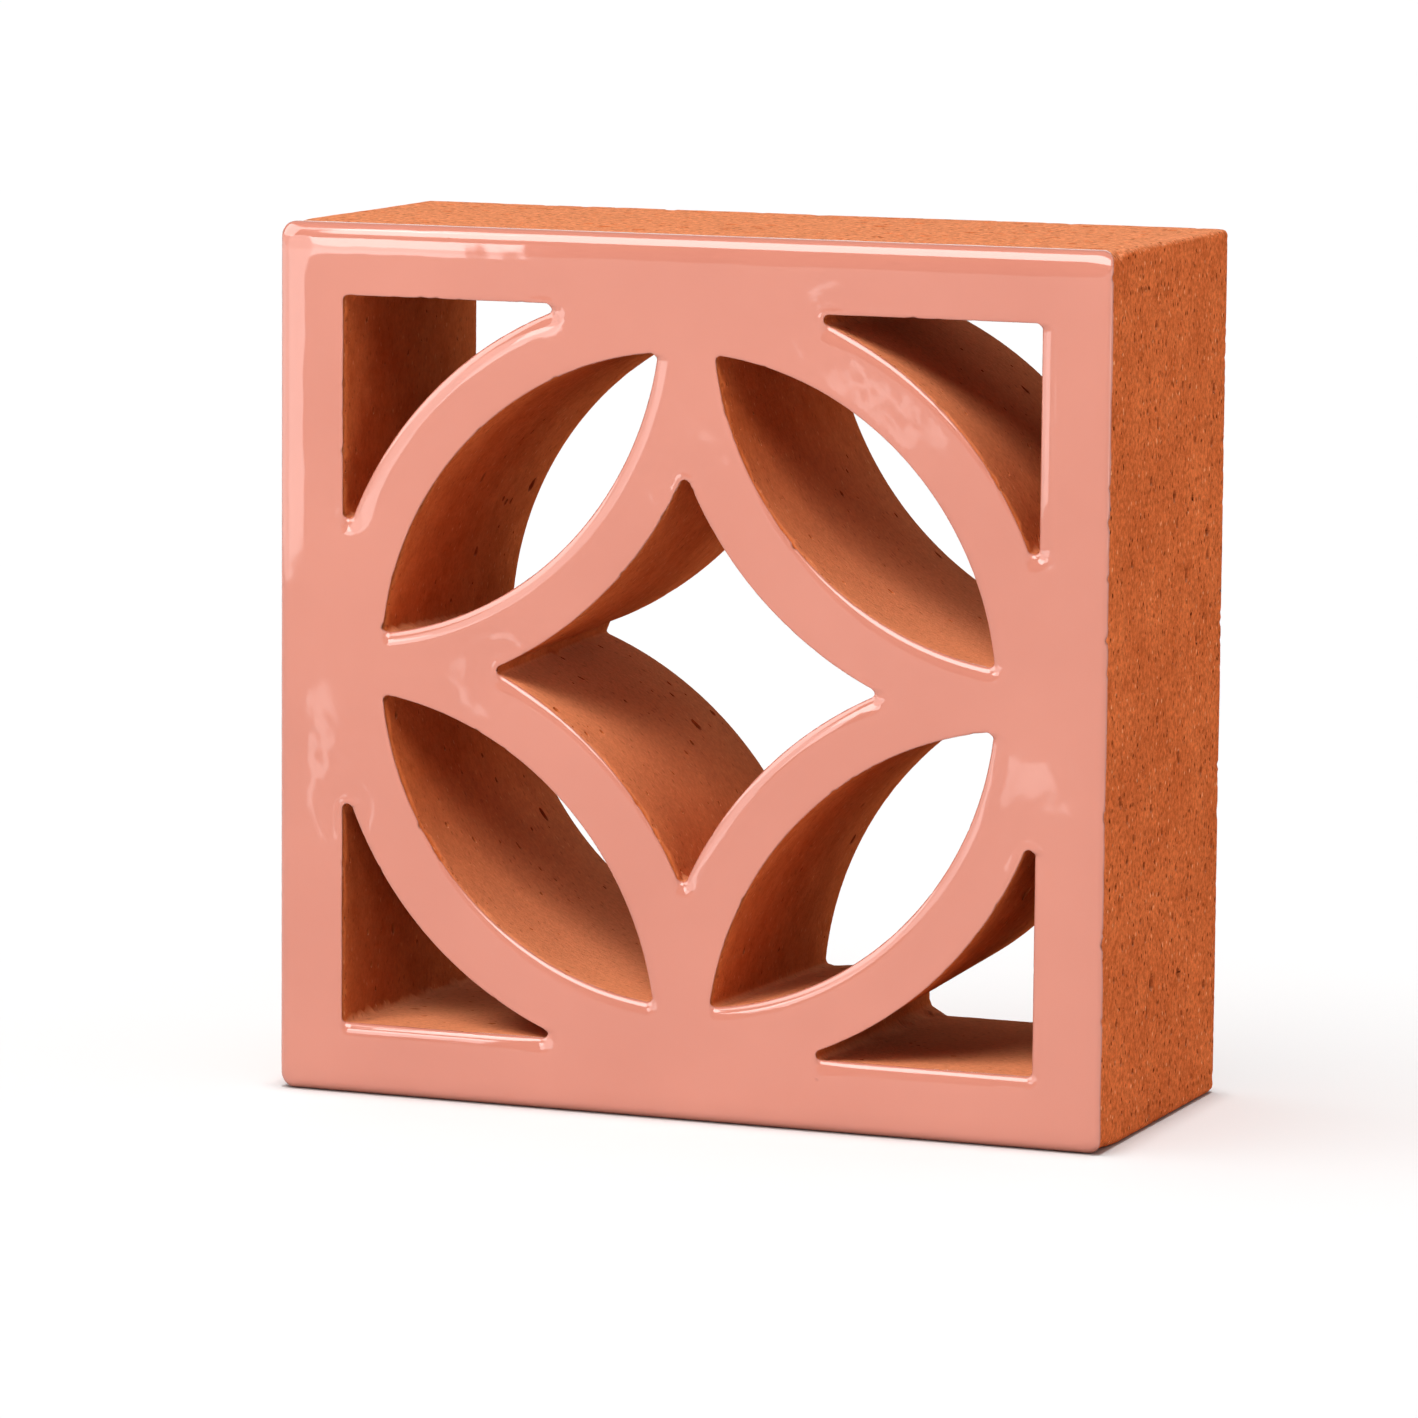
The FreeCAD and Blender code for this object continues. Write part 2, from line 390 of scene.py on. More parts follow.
class Skin:
    """Collects the vertices and faces of one piece, in millimetres."""

    def __init__(self):
        self.places = []
        self.painted_shades = []
        self.faces = []
        self.grain = []
        self.sharp = []
        self.inner = []
        self.inside_now = 0.0
        self.count = 0

    def add(self, places, painted_shade=0.0):
        """Adds vertices with a painted shade from 0 to 1 each, and returns their numbers."""
        self.places.append(np.asarray(places, float))
        self.painted_shades.append(np.zeros(len(places)) + painted_shade)
        self.inner.append(np.full(len(places), self.inside_now))
        numbers = np.arange(self.count, self.count + len(places))
        self.count += len(places)
        return numbers

    def fill(self, numbers, grain, corners):
        """Adds faces. corners holds rows of places in numbers and grain."""
        self.faces.append(numbers[corners])
        self.grain.append(grain[corners])

    def strip(self, rows, along, across):
        """Quads between closed rows of vertices. along and across say how the grain runs over them."""
        size = len(rows[0])
        here = np.arange(size)
        right = (here + 1) % size
        for k in range(len(rows) - 1):
            quads = [rows[k][here], rows[k][right], rows[k + 1][right], rows[k + 1][here]]
            self.faces.append(np.stack(quads, 1))
            near = np.stack([along[:-1], along[1:], along[1:], along[:-1]], 1)
            far = np.zeros_like(near) + np.array([across[k], across[k], across[k + 1], across[k + 1]])
            self.grain.append(np.stack([near, far], 2))

    def mesh(self, name):
        """The finished mesh, in metres, closed and with its faces turned outwards."""
        mesh = bpy.data.meshes.new(name)
        places = np.vstack(self.places) * MM
        faces = [row for block in self.faces for row in block.tolist()]
        mesh.from_pydata(places.tolist(), [], faces)
        # painted_shade darkens the colour: painted shade in the glaze's nicks and end, and on the floors of
        # pits
        painted_shade = mesh.attributes.new("painted_shade", "FLOAT", "POINT")
        painted_shade.data.foreach_set("value", np.concatenate(self.painted_shades).astype(np.float32))
        inner = mesh.attributes.new("inner", "FLOAT", "POINT")
        inner.data.foreach_set("value", np.concatenate(self.inner).astype(np.float32))
        grain = mesh.attributes.new("grain", "FLOAT2", "CORNER")
        all_grain = np.concatenate([g.reshape(-1) for g in self.grain])
        grain.data.foreach_set("vector", all_grain.astype(np.float32))
        self.mark_sharp(mesh)
        turned = bmesh.new()
        turned.from_mesh(mesh)
        bmesh.ops.recalc_face_normals(turned, faces=turned.faces)
        open_edges = sum(1 for e in turned.edges if len(e.link_faces) != 2)
        turned.to_mesh(mesh)
        turned.free()
        mesh.shade_smooth()
        print(name, "edges without two faces", open_edges)
        return mesh

    def mark_sharp(self, mesh):
        """Keeps the shading crisp along the edges that were listed as sharp."""
        if not self.sharp:
            return
        ends = np.zeros(len(mesh.edges) * 2, np.int32)
        mesh.edges.foreach_get("vertices", ends)
        ends = np.sort(ends.reshape(-1, 2).astype(np.int64), 1)
        wanted = np.sort(np.vstack(self.sharp).astype(np.int64), 1)
        keys = ends[:, 0] * self.count + ends[:, 1]
        chosen = np.isin(keys, wanted[:, 0] * self.count + wanted[:, 1])
        crisp = mesh.attributes.new("sharp_edge", "BOOLEAN", "EDGE")
        crisp.data.foreach_set("value", chosen)


print("an empty skin has", Skin().count, "vertices")

# %% Triangles over a sheet
ROOM_FOR_ERROR = 1e-7


def ring_edges(first, size):
    """The edges of a closed ring of points that are numbered on from first."""
    return [(first + i, first + (i + 1) % size) for i in range(size)]


def triangulate(points, edges):
    """Triangles over all points, as rows of point numbers, with the given edges kept."""
    found = delaunay_2d_cdt([Vector(p) for p in points.tolist()], edges, [], 0, ROOM_FOR_ERROR, True)
    if len(found[0]) != len(points):
        raise ValueError("two points or edges of a sheet lie on each other")
    old = np.array([o[0] for o in found[3]])
    return old[np.array(found[2])]


def inside(points, polygon):
    """Which points lie inside a closed polygon, by counting crossings."""
    low = polygon.min(0)
    high = polygon.max(0)
    near = np.flatnonzero(((points > low) & (points < high)).all(1))
    result = np.zeros(len(points), bool)
    x, z = points[near].T
    crossings = np.zeros(len(near), int)
    for (x0, z0), (x1, z1) in zip(polygon, np.roll(polygon, -1, 0)):
        if z0 == z1:
            continue
        spans = (z0 > z) != (z1 > z)
        crossings += spans & (x < x0 + (z - z0) / (z1 - z0) * (x1 - x0))
    result[near] = crossings % 2 == 1
    return result


unit_square = np.array([[0.0, 0.0], [1.0, 0.0], [1.0, 1.0], [0.0, 1.0]])
print("triangles over a square", len(triangulate(unit_square, ring_edges(0, 4))))

# %% [markdown]
# ## Noise and soft steps
# Pressed clay and melted glaze are never quite true, so most shapes below get a little soft noise. Blender's
# own noise gives one value for each point. A soft step, flat at both ends, fades one shape into the next
# without a crease, which a glossy face would show at once.

# %% Waves and grain in numbers
SEED_STEP = np.array([17.3, 5.1, 9.7])  # how far two noises with seeds one apart lie from each other


def smooth_noise(points, size, seed):
    """Soft noise from -1 to 1 at points of two or three coordinates, with bumps about size across."""
    at = np.zeros((len(points), 3))
    at[:, : points.shape[1]] = points / size
    at += seed * SEED_STEP
    return np.array([noise.noise(Vector(p)) for p in at.tolist()])


def smooth_step(low, high, value):
    """0 below low, 1 above high and a soft rise between them."""
    share = np.clip((value - low) / (high - low), 0, 1)
    return share * share * (3 - 2 * share)


print("a soft step from 0 to 1", smooth_step(0, 1, np.linspace(0, 1, 5)))

# %% [markdown]
# ## The section of a glazed edge
# Glaze melts, flows and stops where the surface turns away. Across an edge it leaves the wall, rounds the
# corner, and climbs to the face in a long low crown. Each stretch leans its own way, so each mirrors another
# light, and that makes the pair of lines along a rim. A bevel would give one even round. Here the section is
# worked out once, as rows with a growth (across the face), a depth (behind the face) and a direction
# outwards, and every loop of the pattern uses the same rows.

# %% Edge section


class EdgeSection:
    """Rows across a rounded edge, from the wall inside to the flat of the face.

    bends lists the stretches from the flat to the wall, each with its length, the lean in degrees that
    it reaches, and its rows. wall_steps are lengths further down the wall.
    """

    def __init__(self, bends, wall_steps):
        leans = [0.0]
        growth = [0.0]
        depth = [0.0]
        run = [0.0]
        for length, end, rows in bends:
            step = length / rows
            turn = (math.radians(end) - leans[-1]) / rows
            for _ in range(rows):
                middle = leans[-1] + turn / 2
                growth.append(growth[-1] + step * math.cos(middle))
                depth.append(depth[-1] + step * math.sin(middle))
                run.append(run[-1] + step)
                leans.append(leans[-1] + turn)
        walls = np.array(wall_steps, float)
        lean = np.array(leans[-1:] * len(walls) + leans[::-1])
        self.round_depth = depth[-1]
        self.wall = np.concatenate([walls, np.zeros(len(run))])
        self.growth = growth[-1] - np.array(growth[-1:] * len(walls) + growth[::-1])
        self.depth = np.array(depth[-1:] * len(walls) + depth[::-1])
        self.run = run[-1] - np.array(run[-1:] * len(walls) + run[::-1])
        self.out_growth = -np.sin(lean)
        self.out_depth = -np.cos(lean)


RIM_WALLS = [1.7, 1.35, 1.0, 0.7, 0.4]
EDGE_WALLS = [2.9, 2.55, 2.2, 1.85, 1.5, 1.15, 0.8, 0.4]
RIM_BENDS = [(1.2, 4, 2), (1.6, 12, 4), (0.5, 22, 2), (0.6, 34, 2), (0.9, 90, 5)]
EDGE_BENDS = [(3.8, 9, 6), (0.8, 19, 2), (1.1, 32, 3), (2.2, 90, 7)]
rim_section = EdgeSection(RIM_BENDS, RIM_WALLS)
edge_section = EdgeSection(EDGE_BENDS, EDGE_WALLS)
print("rim rows", len(rim_section.run), "ends at growth", round(rim_section.growth[-1], 2))
print("edge rows", len(edge_section.run), "rounding ends at depth", round(edge_section.round_depth, 2))

# %% Soft and crisp edges
CRISP_RIM = 0.25
CRISP_RIGHT = 0.45
CRISP_BOTTOM = 0.8
SAG_RIGHT = 0.6
SAG_DOWN = 0.8
SAG_START = 0.2


def rim_softness(into):
    """Scale of the section round an opening: soft below and right, where glaze sags, and thin elsewhere."""
    lean = SAG_RIGHT * into[:, 0] - SAG_DOWN * into[:, 1]
    share = np.clip(lean + SAG_START, 0, 1)
    return CRISP_RIM + (1 - CRISP_RIM) * share * share * (3 - 2 * share)


def edge_softness(into):
    """Scale of the section round the block: soft at the top and left, tighter at the right and bottom."""
    right = np.clip(-into[:, 0], 0, 1) ** 2
    bottom = np.clip(into[:, 1], 0, 1) ** 2
    return 1 - (1 - CRISP_RIGHT) * right - (1 - CRISP_BOTTOM) * bottom


petal_scale = rim_softness(petal_opening(1, 1, 8.0).into)
print("scale of a petal's rim from", petal_scale.min().round(2), "to", petal_scale.max().round(2))

# %% [markdown]
# ## Where the glaze ends
# The coat stops in an uneven line: it wanders, it has a thin bead where surface tension held it back, and
# it is nicked where a grain of clay broke the edge. The line is a number for each point of a loop, the
# length down the wall at which the coat dips under the clay. Real geometry carries it, because the bead
# and the nicks catch light that a painted line would not.

# %% End line of the glaze
COAT = 0.20  # how far the glaze stands above the clay
BOX_ROOM = 0.06  # room between the coat and the block's overall size
SINK = 0.55  # how far the coat's end dips, to lie hidden in the clay
BEAD = 0.04  # swelling of the coat just before its end
WRAP_TOP = 1.0
WRAP_RIGHT = -0.2
WRAP_LEFT = 0.4
WRAP_BOTTOM = 0.4
RIM_WRAP = 0.2
NICK_SPACING = 6.0
NICK_DEEPEST = 0.45
NICK_WIDTHS = (0.3, 0.7)
NICK_DEPTHS = (0.15, 1.0)
NICK_SEEN = (0.12, 0.4)  # depths between which a nick comes to show as bare clay darkened by painted shade
WANDER_LONG = 0.22
WANDER_SHORT = 0.14
rng = np.random.default_rng(472)


def nicks(along, length):
    """Small bites out of the line, spread at random round a loop."""
    bites = np.zeros_like(along)
    for place in rng.uniform(0, length, int(length / NICK_SPACING)):
        width = rng.uniform(*NICK_WIDTHS)
        depth = rng.uniform(*NICK_DEPTHS) ** 2 * NICK_DEEPEST
        away = np.abs(along - place)
        away = np.minimum(away, length - away)
        bites += depth * np.exp(-((away / width) ** 2))
    return bites


def end_line(points, along, length, wrap):
    """How far past the rounding the glaze runs down the wall, and how nicked it is, round a loop."""
    wander = WANDER_LONG * smooth_noise(points, 14.0, 3) + WANDER_SHORT * smooth_noise(points, 3.0, 4)
    bites = nicks(along, length)
    return wrap + wander - bites, smooth_step(*NICK_SEEN, bites)


print("the coat runs", WRAP_TOP, "past the rounding at the top and", RIM_WRAP, "in the openings")

# %% [markdown]
# ## Waves in the face
# A glazed face is never flat. It carries low ripples, it dips at the tips of the openings, where the coat
# drew back, and it has a few patches of small hollows and a rolling band at the left. All of it is far too
# small to see as shape, but a mirror doubles every tilt, so it bends and breaks the reflections. A bump in
# the material could do it too, but then the mesh itself would lack it.

# %% Height of the face
WAVES = [(0.035, 16.0, 1), (0.018, 5.5, 2), (0.004, 2.2, 11)]  # height, size across, and seed
DIMPLE_DEPTH = 0.24
DIMPLE_SIZE = 5.0
HOLLOW_GRAIN = 2.8
HOLLOW_DEPTH = 0.03
HOLLOWS = [  # where the coat drew back in small hollows: a place on the face, and how far they reach
    ((33.0, 73.0), 6.0),
    ((41.0, 65.0), 6.0),
    ((50.0, 58.0), 6.0),
    ((2.0, 46.0), 5.0),
    ((78.0, -24.0), 8.0),
    ((-85.0, -22.0), 9.0),
    ((-46.0, -2.0), 5.0),
]
BAND_DEPTH = 0.09
BAND_GRAIN = 7.0
BAND_WIDE = 5.0
tip_places = star_opening(1.0).tips[:]
for sx, sz in QUARTERS:
    tip_places += corner_opening(sx, sz, 1.0).tips[1:]


def face_wave(points):
    """Height of the ripples of the glaze over the face, at points in the face's own plane."""
    height = np.zeros(len(points))
    for swell, size, seed in WAVES:
        height += swell * smooth_noise(points, size, seed)
    for tip in tip_places:
        height -= DIMPLE_DEPTH * np.exp(-((points - tip) ** 2).sum(1) / DIMPLE_SIZE**2)
    hollows = 0.5 + 0.5 * smooth_noise(points, HOLLOW_GRAIN, 10)
    for place, reach in HOLLOWS:
        height -= HOLLOW_DEPTH * hollows * np.exp(-((points - place) ** 2).sum(1) / reach**2)
    rolls = 0.5 + 0.5 * smooth_noise(points, BAND_GRAIN, 12)
    from_band = (points[:, 0] + HALF_SIDE - BAND_WIDE) / BAND_WIDE
    height -= BAND_DEPTH * rolls * np.exp(-(from_band**2))
    return height


def face_height(points):
    """Depth of the coat's outer side behind the front of the block."""
    return BOX_ROOM - face_wave(points)


print("dimples at", len(tip_places), "tips, wave in the middle", face_wave(np.zeros((1, 2))).round(3))

# %% [markdown]
# ## The coat of glaze
# On the real block the coat is a thin layer of glass over the face, rolled over all rims. It could be painted
# on the clay by a mask, but then it would have no thickness, no bead and no crisp end. So it is a closed
# shell of its own: rows of quads round each loop, triangles over the flat between the loops, and a hidden
# back that lies inside the clay.

# %% Rows of the coat round a loop
COAT_BACK = 0.6  # the hidden side of the coat lies this far under its outer side
HIDDEN_STEP = 4  # the hidden side has one row for this many rows of the outer side
WAVE_FADE = (0.3, 2.5)  # lengths from the coat's end over which the ripples set in
SINK_FADE = (-0.35, 0.2)  # lengths from the coat's end over which it dips under the clay
BEAD_PLACE = 0.45
BEAD_WIDE = 0.26
# painted shade at the coat's end: how far it reaches, and how much of it there is at least
EDGE_SHADE_REACH = 0.6
EDGE_SHADE_LEAST = 0.3


def on_block(points, depth):
    """Points of the pattern as places in the block, at a depth behind the face."""
    return np.stack([points[:, 0], FACE_Y + depth + 0 * points[:, 0], HALF_SIDE + points[:, 1]], 1)


def glaze_rows(loop, section, scale, wrap, set_in, skin):
    """Adds the rows of the coat round one loop. Returns the last outer row and the last hidden row."""
    nominal = loop.at(0.0)
    end, nicked = end_line(nominal, loop.along[:-1], loop.length, wrap)
    outer = []
    for k in range(len(section.run)):
        over_end = section.run[k] * scale - section.wall[k] + end
        lift = smooth_step(*WAVE_FADE, over_end) * face_wave(loop.at(section.growth[k] * scale))
        lift += BEAD * np.exp(-(((over_end - BEAD_PLACE) / BEAD_WIDE) ** 2))
        lift -= SINK * (1 - smooth_step(*SINK_FADE, over_end))
        growth = section.growth[k] * scale + set_in + lift * section.out_growth[k]
        depth = section.depth[k] * scale + section.wall[k] + BOX_ROOM + lift * section.out_depth[k]
        # painted shade: at the coat's end, and more in a nick, the colour goes over to darkened bare clay
        bare = 1 - smooth_step(0.0, EDGE_SHADE_REACH, over_end)
        painted_edge_shade = bare * (EDGE_SHADE_LEAST + (1 - EDGE_SHADE_LEAST) * nicked)
        outer.append(skin.add(on_block(loop.at(growth), depth), painted_edge_shade))
    hidden = []
    for k in list(range(0, len(section.run), HIDDEN_STEP)) + [len(section.run) - 1]:
        growth = section.growth[k] * scale + set_in - (COAT_BACK + SINK) * section.out_growth[k]
        depth = section.depth[k] * scale + section.wall[k] + BOX_ROOM - COAT_BACK * section.out_depth[k]
        hidden.append(skin.add(on_block(loop.at(growth), depth)))
    skin.strip(outer, loop.along, section.wall - section.run)
    skin.strip([outer[0]] + hidden, loop.along, np.zeros(len(hidden) + 1))
    return outer[-1], hidden[-1]


print("the coat's shell is", COAT_BACK, "thick, of which", COAT, "stands above the clay")

# %% Flat of a face between loops


def skin_places(skin, numbers):
    """The places of vertices that a skin already holds."""
    return np.vstack(skin.places)[numbers]


def between_rims(points, rims):
    """Which points lie inside the first rim and outside the others."""
    wanted = inside(points, rims[0])
    for rim in rims[1:]:
        wanted &= ~inside(points, rim)
    return wanted


def spaced_points(rims, spacing, keep_off):
    """Evenly spaced points between rims, in staggered rows, that keep off the rims' own points."""
    steps = int(BLOCK_SIDE / spacing)
    line = (np.arange(steps) - (steps - 1) / 2) * spacing
    grid = np.stack(np.meshgrid(line, line), 2).reshape(-1, 2)
    grid[:, 0] += spacing / 2 * (np.round(grid[:, 1] / spacing) % 2)
    grid = grid[between_rims(grid, rims)]
    rim_points = np.vstack(rims).tolist()
    tree = kdtree.KDTree(len(rim_points))
    for i, p in enumerate(rim_points):
        tree.insert((p[0], p[1], 0), i)
    tree.balance()
    away = np.array([tree.find((p[0], p[1], 0))[2] for p in grid.tolist()])
    return grid[away > keep_off]


def flat_between(skin, numbers, spacing=None, height=None, keep_off=0.0):
    """Fills the flat between loops of vertices with triangles, and with spaced points if asked to."""
    rims = [skin_places(skin, n)[:, [0, 2]] - np.array([0, HALF_SIDE]) for n in numbers]
    filled = np.vstack(rims)
    edges = []
    first = 0
    for rim in rims:
        edges += ring_edges(first, len(rim))
        first += len(rim)
    if spacing:
        grid = spaced_points(rims, spacing, keep_off)
        numbers = numbers + [skin.add(on_block(grid, height(grid)))]
        filled = np.vstack([filled, grid])
    corners = triangulate(filled, edges)
    kept = between_rims(filled[corners].mean(1), rims)
    skin.fill(np.concatenate(numbers), filled, corners[kept])


whole_face = BlockOutline(1.0).at(0.0)
print("points 10 mm apart over the whole face", len(spaced_points([whole_face], 10.0, 0.5)))

# %% Coat of glaze
RIM_SPACING = 0.92
EDGE_SPACING = 1.0
FACE_SPACING = 0.85
FACE_KEEP_OFF = 0.55
GLAZE_CORNER = 3.2
CORNER_OPENS = 0.55


class GlazeOutline(BlockOutline):
    """The block's outline with corners that open out as the coat runs onto the face."""

    def at(self, growth):
        corner = GLAZE_CORNER + CORNER_OPENS * np.clip(growth, 0, None)
        return self.between(self.along[:-1], growth, corner)[0]


glaze_skin = Skin()
glaze_outline = GlazeOutline(EDGE_SPACING)
outline_into = glaze_outline.between(glaze_outline.along[:-1], 0.0)[1]
outline_wrap = (
    WRAP_TOP * np.clip(-outline_into[:, 1], 0, 1) ** 2
    + WRAP_BOTTOM * np.clip(outline_into[:, 1], 0, 1) ** 2
    + WRAP_RIGHT * np.clip(-outline_into[:, 0], 0, 1) ** 2
    + WRAP_LEFT * np.clip(outline_into[:, 0], 0, 1) ** 2
)
edge_scale = edge_softness(outline_into)
front_loops = [glaze_rows(glaze_outline, edge_section, edge_scale, outline_wrap, BOX_ROOM, glaze_skin)]
for opening in all_openings(RIM_SPACING):
    rim_scale = rim_softness(opening.into)
    front_loops.append(glaze_rows(opening, rim_section, rim_scale, RIM_WRAP, 0.0, glaze_skin))
flat_between(glaze_skin, [f[0] for f in front_loops], FACE_SPACING, face_height, FACE_KEEP_OFF)
flat_between(glaze_skin, [f[1] for f in front_loops])
print("glaze vertices", glaze_skin.count)

# %% [markdown]
# ## Pits
# Air and burnt-out grit leave pits in fired clay, long in the way the clay was pressed. Dots in a material
# would stay flat in the mesh, and a displacement would need millions of faces. So each pit is a
# few triangles: a sharp rim, a floor ring and a middle, set into the sheet where they are needed. No two of
# them touch, which keeps the triangulation clean.

# %% Pits
PIT_LEAST = 0.32  # half lengths: the least, how far the usual one goes past it, and the most
PIT_USUAL = 0.34
PIT_MOST = 2.1
PIT_NARROWEST = 0.25
PIT_SLIMNESS = (0.4, 0.85)
PIT_LEAN = 0.22
PIT_APART = 1.3
PIT_GAP = 0.25
PIT_CELL = 3.0  # pits are kept in square cells of this size, to find a new one's neighbours quickly
PIT_TRIES = 3
LARGE_PIT = 0.5
PIT_ROUGH = (0.8, 1.15)
PIT_DEPTHS = (1.2, 2.2)
PIT_FLOOR = 0.6
NEIGHBOURS = [(i, j) for i in (-1, 0, 1) for j in (-1, 0, 1)]


def scatter_pits(wide, tall, count, clear):
    """Places, half lengths, half widths and leans of pits on a sheet, no two of them touching."""
    taken = {}
    chosen = []
    for _ in range(count * PIT_TRIES):
        if len(chosen) == count:
            break
        length = min(PIT_LEAST + rng.exponential(PIT_USUAL), PIT_MOST)
        width = max(PIT_NARROWEST, length * rng.uniform(*PIT_SLIMNESS))
        u = rng.uniform(clear, wide - clear)
        v = rng.uniform(tall[0], tall[1])
        column = int(u / PIT_CELL)
        row = int(v / PIT_CELL)
        close = [p for i, j in NEIGHBOURS for p in taken.get((column + i, row + j), [])]
        if any(math.hypot(u - p[0], v - p[1]) < PIT_APART * (length + p[2]) + PIT_GAP for p in close):
            continue
        pit = (u, v, length, width, rng.normal(0, PIT_LEAN))
        taken.setdefault((column, row), []).append(pit)
        chosen.append(pit)
    return chosen


def pit_rings(pit):
    """The rim ring and the floor ring of a pit, its middle, and how deep the floor lies."""
    u, v, length, width, lean = pit
    sides = 8 if length > LARGE_PIT else 6
    angles = 2 * math.pi * (np.arange(sides) + rng.uniform(0, 1)) / sides
    rough = rng.uniform(*PIT_ROUGH, sides)
    across = np.stack([length * np.cos(angles) * rough, width * np.sin(angles) * rough], 1)
    turn = np.array([[math.cos(lean), math.sin(lean)], [-math.sin(lean), math.cos(lean)]])
    rim = across @ turn
    deep = width * rng.uniform(*PIT_DEPTHS)
    return np.array([u, v]) + rim, np.array([u, v]) + PIT_FLOOR * rim, np.array([[u, v]]), deep


print("pits are", 2 * PIT_LEAST, "to", 2 * PIT_MOST, "long")

# %% [markdown]
# ## Pitted sheets
# A wall that runs round the block or round an opening can be unrolled into a flat sheet: one coordinate is
# the length along the outline, the other the depth behind the face. Points, pits and triangles are laid out
# on the sheet, and a place function then rolls it up again. Where the sheet's two ends meet, they share
# vertices.

# %% Pitted sheets
GRID_JITTER = 0.22
PIT_SEARCH = 2.1
PIT_ROOM = 1.2
PIT_MARGIN = 0.12
SEAM_POINTS = 24
PIT_RING_DEPTH = 0.8  # depth of the floor ring, as a share of the depth in the middle


def jittered_grid(wide, low, high, step):
    """Points about a step apart over a sheet, each moved a little at random."""
    across = max(2, int(wide / step))
    rows = max(1, int((high - low) / step))
    u = (np.arange(across) + 0.5) * wide / across
    v = low + (np.arange(rows) + 0.5) * (high - low) / rows
    grid = np.stack(np.meshgrid(u, v), 2).reshape(-1, 2)
    return grid + rng.uniform(-GRID_JITTER, GRID_JITTER, grid.shape) * step


def away_from_pits(points, pits):
    """The points that lie clear of every pit."""
    tree = kdtree.KDTree(len(pits))
    for i, pit in enumerate(pits):
        tree.insert((pit[0], pit[1], 0), i)
    tree.balance()
    kept = []
    for p in points.tolist():
        hits = tree.find_range((p[0], p[1], 0), PIT_SEARCH)
        if all(h[2] > PIT_ROOM * pits[h[1]][2] + PIT_MARGIN for h in hits):
            kept.append(p)
    return np.array(kept)


def pitted_sheet(skin, wide, front, back, extra, pits, place, along):
    """Fills the unrolled wall between a front row and a back row of vertices.

    front and back are (vertex numbers, depth) of closed rows. extra are points (length along,
    depth) that the sheet must have. place gives the places of such points, sunk by a depth.
    """
    seam = np.linspace(front[1], back[1], SEAM_POINTS)[1:-1]
    size = len(front[0])
    parts = [
        np.stack([along, np.full(size + 1, front[1])], 1),
        np.stack([along, np.full(size + 1, back[1])], 1),
        np.stack([np.zeros_like(seam), seam], 1),
        np.stack([np.full_like(seam, wide), seam], 1),
    ]
    seam_numbers = skin.add(place(parts[2], 0.0))
    numbers = [front[0], front[0][:1], back[0], back[0][:1], seam_numbers, seam_numbers]
    parts.append(extra)
    numbers.append(skin.add(place(extra, 0.0)))
    first = sum(len(p) for p in parts)
    edges = []
    for pit in pits:
        rim, floor, middle, deep = pit_rings(pit)
        sides = len(rim)
        edges += ring_edges(first, sides) + ring_edges(first + sides, sides)
        rim_numbers = skin.add(place(rim, 0.0))
        # the floor ring and the middle carry a full painted shade, which darkens the pit's floor
        floor_numbers = skin.add(place(floor, PIT_RING_DEPTH * deep), 1.0)
        numbers += [rim_numbers, floor_numbers, skin.add(place(middle, deep), 1.0)]
        parts += [rim, floor, middle]
        skin.sharp.append(np.stack([rim_numbers, np.roll(rim_numbers, -1)], 1))
        first += 2 * sides + 1
    points = np.vstack(parts)
    skin.fill(np.concatenate(numbers), points, triangulate(points, edges))


print("points keep", PIT_ROOM, "half lengths and", PIT_MARGIN, "away from a pit")

# %% [markdown]
# ## Uneven clay and chipped edges
# A pressed block comes out with long low swells, finer lumps, and edges from which small crumbs broke away.
# Both are noise: the swells move the surface in and out, and the chips count only where the noise is high and
# an edge is near. Modifiers could do this, but here the edge and the depth are known at each point.

# %% Clay unevenness
UNEVEN = 0.07
LUMPS = 0.035
CHIP_NOISE = 0.6
CHIP_START = 0.2
CHIP_DEPTH = 1.1
CHIP_ALWAYS = 0.03


def uneven(places):
    """How far the clay stands out from its true surface: long low swells and finer lumps."""
    return UNEVEN * smooth_noise(places, 22.0, 5) + LUMPS * smooth_noise(places, 6.0, 6) - UNEVEN


def chips(places, near_edge):
    """How much is broken away from an edge. near_edge is 1 on the edge and 0 away from it."""
    rough = CHIP_NOISE * smooth_noise(places, 2.6, 7) + CHIP_NOISE * smooth_noise(places, 1.3, 8)
    return near_edge * (np.clip(rough - CHIP_START, 0, None) * CHIP_DEPTH + CHIP_ALWAYS)


edge_sample = np.linspace([0.0, 0.0, 0.0], [50.0, 0.0, 0.0], 200)
print("deepest chip on 50 mm of edge", chips(edge_sample, 1.0).max().round(2))

# %% [markdown]
# ## Rolling the clay's sheets up
# The clay lies under the coat by its thickness, and everything else is plain block. Its corners are round at
# the face and tighter behind. The bed stands lower than the other sides by as much as the coat is thick, so
# that the block rests on its clay. Two place functions turn sheet points into places: one for the outer
# sides and one, made anew for each opening, for its walls.

# %% Clay skin
CLAY_SET = BOX_ROOM + COAT
FRONT_CORNER = 3.2
BACK_CORNER = 1.4
CORNER_FADE = (4.0, 16.0)  # depths over which the corners tighten
BED_FADE = (5.0, 9.0)  # depths over which the bed comes down to the floor
ROUGH_FADE = (3.5, 7.0)  # depths over which the unevenness sets in
CHIP_REACH = 1.7
CORNER_CHIPS = 1.2
BACK_CHIPS = 1.0
MIDDLE_OF_CORNER = HALF_SIDE - DRAWN_CORNER + DRAWN_CORNER * math.pi / 4
clay_skin = Skin()
outline = BlockOutline(1.0)
clay_front = GlazeOutline(1.0)


